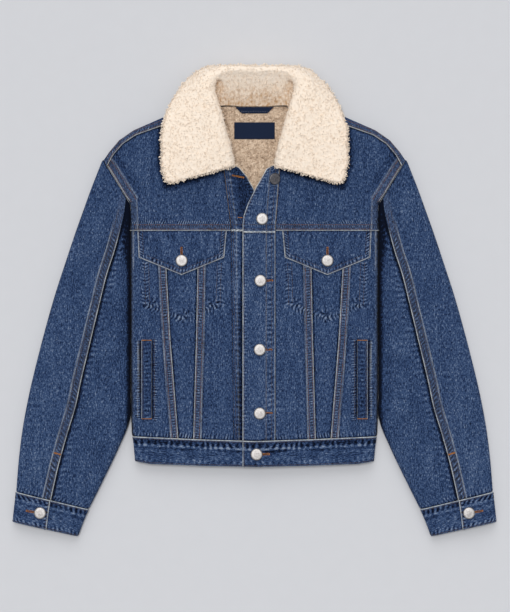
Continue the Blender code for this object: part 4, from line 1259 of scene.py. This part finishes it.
CUFF_H = 16.0
CUFF = ((382.6, -305.7, 266.0, -333.8, CUFF_H, 0.52), (385.5, -330.0, 274.8, -355.5, CUFF_H, 0.50),
        (388.0, -354.0, 283.2, -377.2, CUFF_H, 0.475))
CUFF_BUTTON = (342.8, -339.0)
LAP_LIFT = BAND + 0.3
cuff_rows = smooth_rows(CUFF, stops(49.0, 1.3))
wide = np.hypot(cuff_rows[:, 0] - cuff_rows[:, 2], cuff_rows[:, 1] - cuff_rows[:, 3])[:, None]
turn_share = FOLD_R / wide
edge = cuff_rows[:, 5:6]
cuff_lines, cuff_holes = [], []
for side, sign in SIDES:
    over_lap = np.concatenate((np.linspace(0.0, 0.97, 34)[1:], [0.985, 0.993, 1.0]))
    wound = np.concatenate((
        lerp(edge + 0.15, turn_share, np.linspace(0.0, 1.0, 48)),
        turn_share * fold_back[1:], -turn_share * fold_turn[1:] / FOLD_R,
        lerp(-turn_share, turn_share - 1.0, np.linspace(0.0, 1.0, 10)[1:]),
        -1.0 + turn_share * fold_back[1:], -1.0 - turn_share * fold_turn[1:] / FOLD_R,
        lerp(-1.0 - turn_share, edge - 2.0, over_lap)), 1)
    lapped = wound < -1.0
    base = tube(cuff_rows, np.where(lapped, 2.0 + wound, wound))
    base[..., 2] += np.where(lapped, LAP_LIFT * smooth((-1.0 - wound) / 0.3), 0.0)
    cuff = Panel(mirror(base, sign), sign)
    cuff.cut_across()
    cuff.turn("low", "top", "right", radius=1.4)
    cuff.rub(cuff.low, cuff.left, 0.9, 1.3)
    cuff.rub(cuff.right, cuff.low, 0.95, 1.5)
    cuff.rub(cuff.top, cuff.left, 0.3, 1.2)
    cuff.rise += 0.6 * near(cuff.low, 12.0) * (cuff.normal[..., 2] > 0.1)
    cuff.fade -= 0.6 * smooth((cuff.low - 2.0) / 2.0) * smooth((10.5 - cuff.low) / 2.0)
    crest = 12.0 + 2.4 * (uneven(cuff.left / 13.0, 0.0, 45) - 0.5)
    broken = 0.3 + 1.1 * uneven(cuff.left / 8.0, 0.0, 46)
    cuff.fade += 0.8 * broken * bell(cuff.low, crest, 1.7)
    cuff.fade -= 0.7 * broken * bell(cuff.low - crest, 3.8, 2.0)
    cuff.fade += 0.8 * (uneven(cuff.left / 11.0, cuff.low / 7.0, 48) - 0.5)
    cuff.pucker(cuff.low, cuff.left, 6.0, 8.4, 0.4, 0.0, start=6.0, fade=0.9, seed=41)
    cuff.pucker(cuff.top, cuff.left, 6.0, 7.0, 0.4, 0.1, start=5.0, fade=0.7, seed=42)
    cuff.pucker(cuff.right, cuff.low, 5.0, 6.0, 0.3, 0.1, start=4.0, seed=43)
    cuff.fade -= 0.5 * near(cuff.top, 6.0)
    x, y = sign * CUFF_BUTTON[0], CUFF_BUTTON[1]
    slit(cuff, (x + sign * 6.0, y + 0.8), (x + sign * 21.0, y + 3.2))
    cuff.sew("cuff_cloth_" + side, BAND, ["cuff_" + side])
    cuff_lines += [cuff.thread("low", 2.6), cuff.thread("top", 2.6), cuff.thread("right", 2.6)]
    cuff_holes.append(buttonhole(cuff, (x + sign * 5.0, y + 0.6), (x + sign * 22.5, y + 3.4), 3.4))
stitch("cuff_stitching", cuff_lines, thread=dull_brown)
tack("cuff_buttonholes", cuff_holes, 1.6)


# ---- pocket flaps ----
# A doubled, pointed flap over each chest pocket, caught in the chest seam, with two rows of stitches
# round it and an upright buttonhole.

FLAP_INNER = ((48.5, 69.5), (44.5, 111.6))
FLAP_OUTER = ((185.0, 69.5), (187.0, 111.6))
FLAP_POINT = (116.5, 41.5)
FLAP_BUTTON = (116.5, 64.5)
flap_lines, flap_holes = [], []
for side, sign in SIDES:
    u, v = spread(stops(139.0, 1.35), stops(52.0, 1.3))
    low_edge = (FLAP_INNER[0], FLAP_POINT, FLAP_OUTER[0])
    plan = between(FLAP_INNER, FLAP_OUTER, low_edge, (FLAP_INNER[1], FLAP_OUTER[1]), u, v)
    base = on_front(plan, FOLDED + 0.6)
    flap = Panel(mirror(base, sign), sign)
    hem = np.minimum(np.minimum(flap.left, flap.right), flap.low * 0.93)
    flap.turn("left", "right", "low", radius=1.3, worn=1.0, width=1.5)
    flap.rise += 0.7 * near(hem, 9.0) - 0.4 * bell(hem, 9.6, 2.0)
    flap.fade -= 0.3 * bell(hem, 9.6, 1.6)
    flap.sink(flap.top, 7.0, 1.7)
    # Painted shade under the chest seam's lapped edge.
    flap.fade -= 0.5 * near(flap.top, 3.0)
    flap.fade += 0.55 * (uneven(flap.left / 7.0, flap.low / 16.0, 55) - 0.5)
    flap.fade -= 0.18 * near(hem, 8.0)
    flap.pucker(flap.low, flap.left, 6.0, 5.8, 0.3, 0.25, start=5.4, fade=0.8, seed=51)
    flap.pucker(flap.left, flap.low, 6.0, 4.6, 0.28, 0.2, start=5.0, seed=52)
    flap.pucker(flap.right, flap.low, 6.0, 4.6, 0.28, 0.2, start=5.0, seed=53)
    flap.pucker(flap.top, flap.left, 9.0, 9.0, 0.2, 0.2, start=8.0, fade=0.3, seed=54)
    x, y = sign * FLAP_BUTTON[0], FLAP_BUTTON[1]
    flap.crease(((x - 30.0, 74.0), (x - 6.0, 84.0), (x + 24.0, 96.0)), 7.0, 0.5, 0.10)
    slit(flap, (x, y + 6.5), (x, y + 20.5))
    flap.sew("pocket_flap_cloth_" + side, FOLDED, ["pocket_flap_" + side], lies_on=[lining_piece])
    for distance in (2.4, 8.0):
        flap_lines += [flap.thread("left", distance, distance), flap.thread("right", distance, distance),
                       flap.thread("low", distance * 1.07, distance, 139.0 - distance)]
    flap_holes.append(buttonhole(flap, (x, y + 4.5), (x, y + 21.5), 3.2))
stitch("flap_stitching", flap_lines, thread=dull_brown)
tack("flap_buttonholes", flap_holes, 1.5)


# ---- pocket welts ----
# A doubled, upright welt along the mouth of each side pocket, tacked across at both ends. Its inner
# edge is sewn down and its outer edge, where the hand goes in, is open.

welt_edges, welt_tacks = [], []
for side, sign in SIDES:
    u, v = spread(stops(17.0, 1.2), stops(127.0, 1.5))
    plan = np.stack((lerp(WELT["inner"], WELT["outer"], u), lerp(WELT["low"], WELT["top"], v)), -1)
    base = on_front(plan, FOLDED + 0.6)
    welt = Panel(mirror(base, sign), sign)
    welt.turn("left", "low", "top", radius=1.2, worn=0.2, width=1.0)
    welt.turn("right", radius=1.2, worn=0.65, width=1.1)
    welt.pucker(welt.left, welt.low, 8.0, 6.5, 0.3, 0.1, start=8.0, fade=0.45, seed=61)
    welt.fade -= 0.3 + 0.5 * near(welt.left, 3.0)
    welt.sew("pocket_welt_cloth_" + side, FOLDED, ["pocket_welt_" + side], lies_on=[lining_piece])
    welt_edges.append(welt.thread("right", 2.6))
    near_x, far_x = sign * (WELT["inner"] + 0.6), sign * (WELT["outer"] - 0.6)
    for y in (WELT["top"] - 0.8, WELT["low"] + 0.8):
        welt_tacks.append(welt.lay(line_between((near_x, y), (far_x, y))))
stitch("welt_edge_stitching", welt_edges, thread=dull_brown)
tack("welt_tacks", welt_tacks, 1.8)


# ---- collar ----
# Curly cream sherpa on both sides, cut in one piece: it stands round the neck, rolls over and falls
# open on the shoulders. The side of the stand that faces the neck is tan like the lining.

# from the front end to the middle of the back: x, y and z of the neck seam, the roll and the edge
COLLAR = (
    (37, 217, 22, 31, 216, 38, 141, 186, 31), (42, 238, 22, 35, 240, 42, 149, 219, 31.5),
    (50, 266, 22, 43.5, 270, 45, 149, 252, 31.5), (57, 288, 22.5, 51, 298, 46.5, 146.5, 282, 30),
    (61, 302, 24, 57, 318, 47, 138, 309, 23), (60, 309, 25, 62, 336, 46.5, 124, 335, 16),
    (52, 312.5, 20, 59, 350, 45, 103, 359, 11), (38, 313, 15, 44, 354.5, 43.5, 76, 375.5, 8.5),
    (19, 312, 13.5, 23, 355, 42.5, 38, 378, 7.5), (0, 312, 13.5, 0, 355, 42, 0, 378, 7.5))
STAND_TO = 0.3           # shares of the way from the neck seam to the edge: the stand ends,
ROLL_TO = 0.5            # the roll ends,
TAN_TO = 0.37            # and the pile turns from tan to cream
COLLAR_WALL = 6.5
PILE_DEPTH = 2.0         # how much of the wall is pile
ROLL_R = 12.0
CORNER_R = 15.0


def at_back(u):
    """1 across the back of the neck, 0 along the sides and the leaves."""
    return smooth((0.33 - abs(u)) / 0.11)


def collar_point(u, v):
    """The collar's outer face. u runs from the right front end (-1) to the left one (1), and v from
    the neck seam (0) up the stand, over the roll and down to the edge (1)."""
    rows = smooth_rows(COLLAR, 1.0 - abs(u[0]))[None]
    seam = np.broadcast_to(rows[..., :3], u.shape + (3,))
    roll = np.broadcast_to(rows[..., 3:6], u.shape + (3,))
    rim = np.broadcast_to(rows[..., 6:9], u.shape + (3,))
    up = np.array([0.0, 0.0, 1.0])
    flat = (rim - roll) * (1.0, 1.0, 0.0)
    out = flat / np.linalg.norm(flat, axis=-1, keepdims=True)
    straight = np.minimum(abs(u) / 0.24, 1.0)[..., None] ** 2
    out = lerp(np.array([0.0, 1.0, 0.0]), out, straight)
    out = out / np.linalg.norm(out, axis=-1, keepdims=True)
    lean = np.minimum(ROLL_R, np.linalg.norm(flat, axis=-1, keepdims=True) * 0.45)
    v = v[..., None]
    stand = lerp(seam, roll - up * ROLL_R, v / STAND_TO)
    turn = np.clip((v - STAND_TO) / (ROLL_TO - STAND_TO), 0.0, 1.0) * math.pi / 2.0
    rolled = roll + out * lean * (1.0 - np.cos(turn)) - up * ROLL_R * (1.0 - np.sin(turn))
    t = np.clip((v - ROLL_TO) / (1.0 - ROLL_TO), 0.0, 1.0)
    start = roll + out * lean
    span = np.linalg.norm(rim - start, axis=-1, keepdims=True)
    first = start + out * span * 0.35
    second = rim + up * (roll - rim)[..., 2:] * 0.5 - out * span * 0.22
    before = lerp(lerp(start, first, t), lerp(first, second, t), t)
    after = lerp(lerp(first, second, t), lerp(second, rim, t), t)
    hollow = roll - up * 11.0 - out * 2.5
    t_in = np.clip(v / ROLL_TO, 0.0, 1.0)
    sloped = lerp(lerp(seam, hollow, t_in), lerp(hollow, start, t_in), t_in)
    point = np.where(v <= STAND_TO, stand, np.where(v < ROLL_TO, rolled, lerp(before, after, t)))
    point = np.where(v < ROLL_TO, lerp(point, sloped, at_back(u)[..., None]), point)
    return point * np.stack((np.where(u < 0.0, -1.0, 1.0), np.ones(u.shape), np.ones(u.shape)), -1)


over_roll = np.concatenate((np.linspace(0.0, STAND_TO, 15), np.linspace(STAND_TO, ROLL_TO, 14)[1:],
                            np.linspace(ROLL_TO, 1.0, 76)[1:]))
u, v = spread(np.linspace(-1.0, 1.0, 430), over_roll)
from_end = (1.0 - abs(u)) * 330.0
corner = CORNER_R - np.sqrt(np.maximum(0.0, CORNER_R ** 2 - np.maximum(0.0, CORNER_R - from_end) ** 2))
tufts = 3.4 * uneven(u * 62.0, 0.0, 17) + 1.6 * uneven(u * 130.0, 0.0, 18) - 1.8
collar = Panel(collar_point(u, v * (1.0 - (corner + tufts) / 150.0)))
hem = np.minimum(np.minimum(collar.left, collar.right), collar.top)
t = np.clip(1.0 - hem / 5.0, 0.0, 1.0)
collar.rise -= 3.6 * (1.0 - np.sqrt(1.0 - t * t))
inside = lerp(smooth((TAN_TO - v) / 0.05), 1.08 * smooth((TAN_TO - v) / TAN_TO), at_back(u))
clump = nubs(collar.base, 9.0, 3)
dome = nubs(collar.base, 4.2, 5)
collar.rise += (0.8 * (clump - 0.45) + 0.8 * (dome - 0.4)) * smooth(collar.low / 6.0)
wave = uneven(collar.left / 34.0, collar.low / 30.0, 7) - 0.5
collar.rise += 1.6 * wave * smooth((v - ROLL_TO) / 0.1)
# The tops of the curls are lightened with painted light and the hollows between them darkened with
# painted shade; the tan inside of the stand is its own colour.
collar.fade += (0.3 + 0.5 * inside) * dome + 0.12 * clump + 0.05 - 1.0 * inside
collar_pile = {"part": "pile", "amount": np.where(collar.low < 8.0, 0.0, 1.0 + 1.2 * near(hem, 6.0)),
               "density": 92000.0, "length": 2.7, "seed": 1, "finish": cream_pile}
collar_fringe = {"part": "fringe", "amount": near(hem, 3.5) * (collar.low > 8.0), "density": 420000.0,
                 "length": 4.4, "seed": 6, "finish": cream_pile}
collar.sew("collar_cloth", COLLAR_WALL - PILE_DEPTH, ["collar"], "sherpa", cream_pile, [lining_piece],
           coarse=4, sharp=80.0, pile=[collar_pile, collar_fringe])


# ---- hanger loop and label ----
# Navy woven tapes sewn inside the neck: a loop to hang the jacket by, and a bare label under it.

navy = Finish("navy_tape", 0.8, Specular_IOR_Level=0.1)
weave_at = navy.node("UVMap", {"uv_map": "grain"})
ribs = navy.node("TexWave", {"bands_direction": "Y"},
                 {"Vector": weave_at, "Scale": 260.0, "Distortion": 0.6})
speck = navy.noise(weave_at, 900.0, 1.0)
tone = (ribs * 0.5 + speck * 0.6).clamped()
navy.set(Base_Color=navy.mix((0.005, 0.010, 0.028), (0.012, 0.022, 0.052), tone))
navy.set(Normal=navy.bump(ribs + speck, 0.00015, 0.8))
LOOP = {"low_half": 20.5, "top_half": 31.0, "low_y": 300.5, "top_y": 310.8, "rise": 0.8}
LABEL = {"half": 32.5, "low": 259.4, "top": 286.3}

u, v = spread(stops(56.0, 1.5), stops(7.0, 0.8))
half_here = lerp(LOOP["low_half"], LOOP["top_half"], v)
loop = Panel(np.stack((lerp(-half_here, half_here, u), lerp(LOOP["low_y"], LOOP["top_y"], v),
                       LINING_TOP + 1.8 + LOOP["rise"] * v), -1))
loop.turn("left", "right", "low", "top", radius=0.5)
loop.sew("hanger_loop_tape", 1.4, ["hanger_loop"], "tape", navy.material, [lining_piece])
stitch("hanger_loop_stitching", [loop.thread("low", 3.4)], 2.6, (1.9, 0.8, 0.5),
       thread_finish("pale_thread", (0.20, 0.23, 0.30)))

u, v = spread(stops(64.0, 1.5), stops(26.0, 1.3))
label = Panel(np.stack((lerp(-LABEL["half"], LABEL["half"], u), lerp(LABEL["low"], LABEL["top"], v),
                        np.full(u.shape, LINING_TOP + 1.4)), -1))
label.turn("left", "right", "low", "top", radius=0.6)
label.lift += 0.5 * (uneven(label.left / 14.0, label.low / 12.0, 4) - 0.5)
label.sew("neck_label_tape", 1.0, ["neck_label"], "tape", navy.material, [lining_piece])


# ---- buttons ----
# Turned shank buttons of satin silver-coloured metal, 19 mm across, each riveted through the cloth.
# The one at the neck is of a darker metal and leans over under the collar.

BUTTON_R = 9.5
NECK_BUTTON = (31.5, 195.5)
# half section of a cap and its post: shares of the radius, and heights
CAP = ((0.0, 4.20), (0.16, 4.19), (0.34, 4.14), (0.50, 4.07), (0.60, 4.02), (0.68, 4.00), (0.76, 3.98),
       (0.86, 3.84), (0.94, 3.50), (0.985, 3.10), (1.0, 2.7), (0.975, 2.3), (0.90, 2.05), (0.42, 1.7),
       (0.42, 0.0), (0.0, 0.0))


def metal_finish(name, deep, shine, roughness):
    """Satin plated metal, with a duller centre, painted shade under the rim of a cap, and fine marks from
    wear.
    """
    made = Finish(name, roughness, Metallic=0.45)
    where = made.node("TexCoord", None, None, 3)
    mottle = made.noise(where, 420.0, 3.0, 0.6)
    made.set(Base_Color=made.mix(deep, shine, (made.mark("fade") + (mottle - 0.5) * 2.2).clamped()))
    made.set(Normal=made.bump(mottle, 0.0002, 0.35))
    return made.material


silver = metal_finish("satin_silver", (0.17, 0.155, 0.15), (0.43, 0.41, 0.395), 0.44)
gunmetal = metal_finish("dark_metal", (0.022, 0.021, 0.027), (0.15, 0.145, 0.155), 0.34)


def button(name, x, y, z, finish=silver, lean=(0.0, 0.0)):
    """A cap turned about its own axis, on its post. lean tips it about +X and +Y, in degrees."""
    around = np.linspace(0.0, 2.0 * math.pi, 40, endpoint=False)
    rings = CAP[1:-1]
    points, shine = [(0.0, 0.0, CAP[0][1])], [0.6]
    for r, h in rings:
        points += [(r * BUTTON_R * math.cos(a), r * BUTTON_R * math.sin(a), h) for a in around]
        # The cap is duller at its centre and darkened with painted shade under its rim.
        shine += [0.6 + 0.3 * smooth((r - 0.3) / 0.4) - 0.9 * (h < 3.6)] * len(around)
    points.append((0.0, 0.0, 0.0))
    shine.append(0.0)
    starts = [1 + k * len(around) for k in range(len(rings))]
    faces = []
    for i in range(len(around)):
        j = (i + 1) % len(around)
        faces.append((0, starts[0] + i, starts[0] + j))
        faces += [(a + i, b + i, b + j, a + j) for a, b in zip(starts[:-1], starts[1:])]
        faces.append((len(points) - 1, starts[-1] + j, starts[-1] + i))
    a, b = math.radians(lean[0]), math.radians(lean[1])
    tip = np.array([[1, 0, 0], [0, math.cos(a), -math.sin(a)], [0, math.sin(a), math.cos(a)]])
    swing = np.array([[math.cos(b), 0, math.sin(b)], [0, 1, 0], [-math.sin(b), 0, math.cos(b)]])
    mesh = bpy.data.meshes.new(name)
    mesh.from_pydata((np.array(points) @ tip.T @ swing.T + (x, y, z)) * MM, [], faces)
    mesh.attributes.new("fade", "FLOAT", "POINT").data.foreach_set("value", shine)
    mesh.shade_smooth()
    mesh.set_sharp_from_angle(angle=math.radians(42.0))
    mesh.materials.append(finish)
    piece = new_object(name + "_cap", mesh)
    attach(piece, "root")
    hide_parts(name)


for number, (x, y) in enumerate(FRONT_BUTTONS, 1):
    button(f"front_button_{number}", x, y, front_height(x, y) + FOLDED + 0.9)
x, y = WAIST_BUTTON
button("waistband_button", x, y, front_height(x, y) + BAND + 1.3)
x, y = NECK_BUTTON
button("neck_button", x, y, front_height(x, y) + 1.2, gunmetal, lean=(8.0, 22.0))
for side, sign in SIDES:
    x, y = FLAP_BUTTON
    button("flap_button_" + side, sign * x, y, front_height(x, y) + FOLDED + 0.9)
    x, y = CUFF_BUTTON
    button("cuff_button_" + side, sign * x, y, CUFF_H + BAND + 0.6)
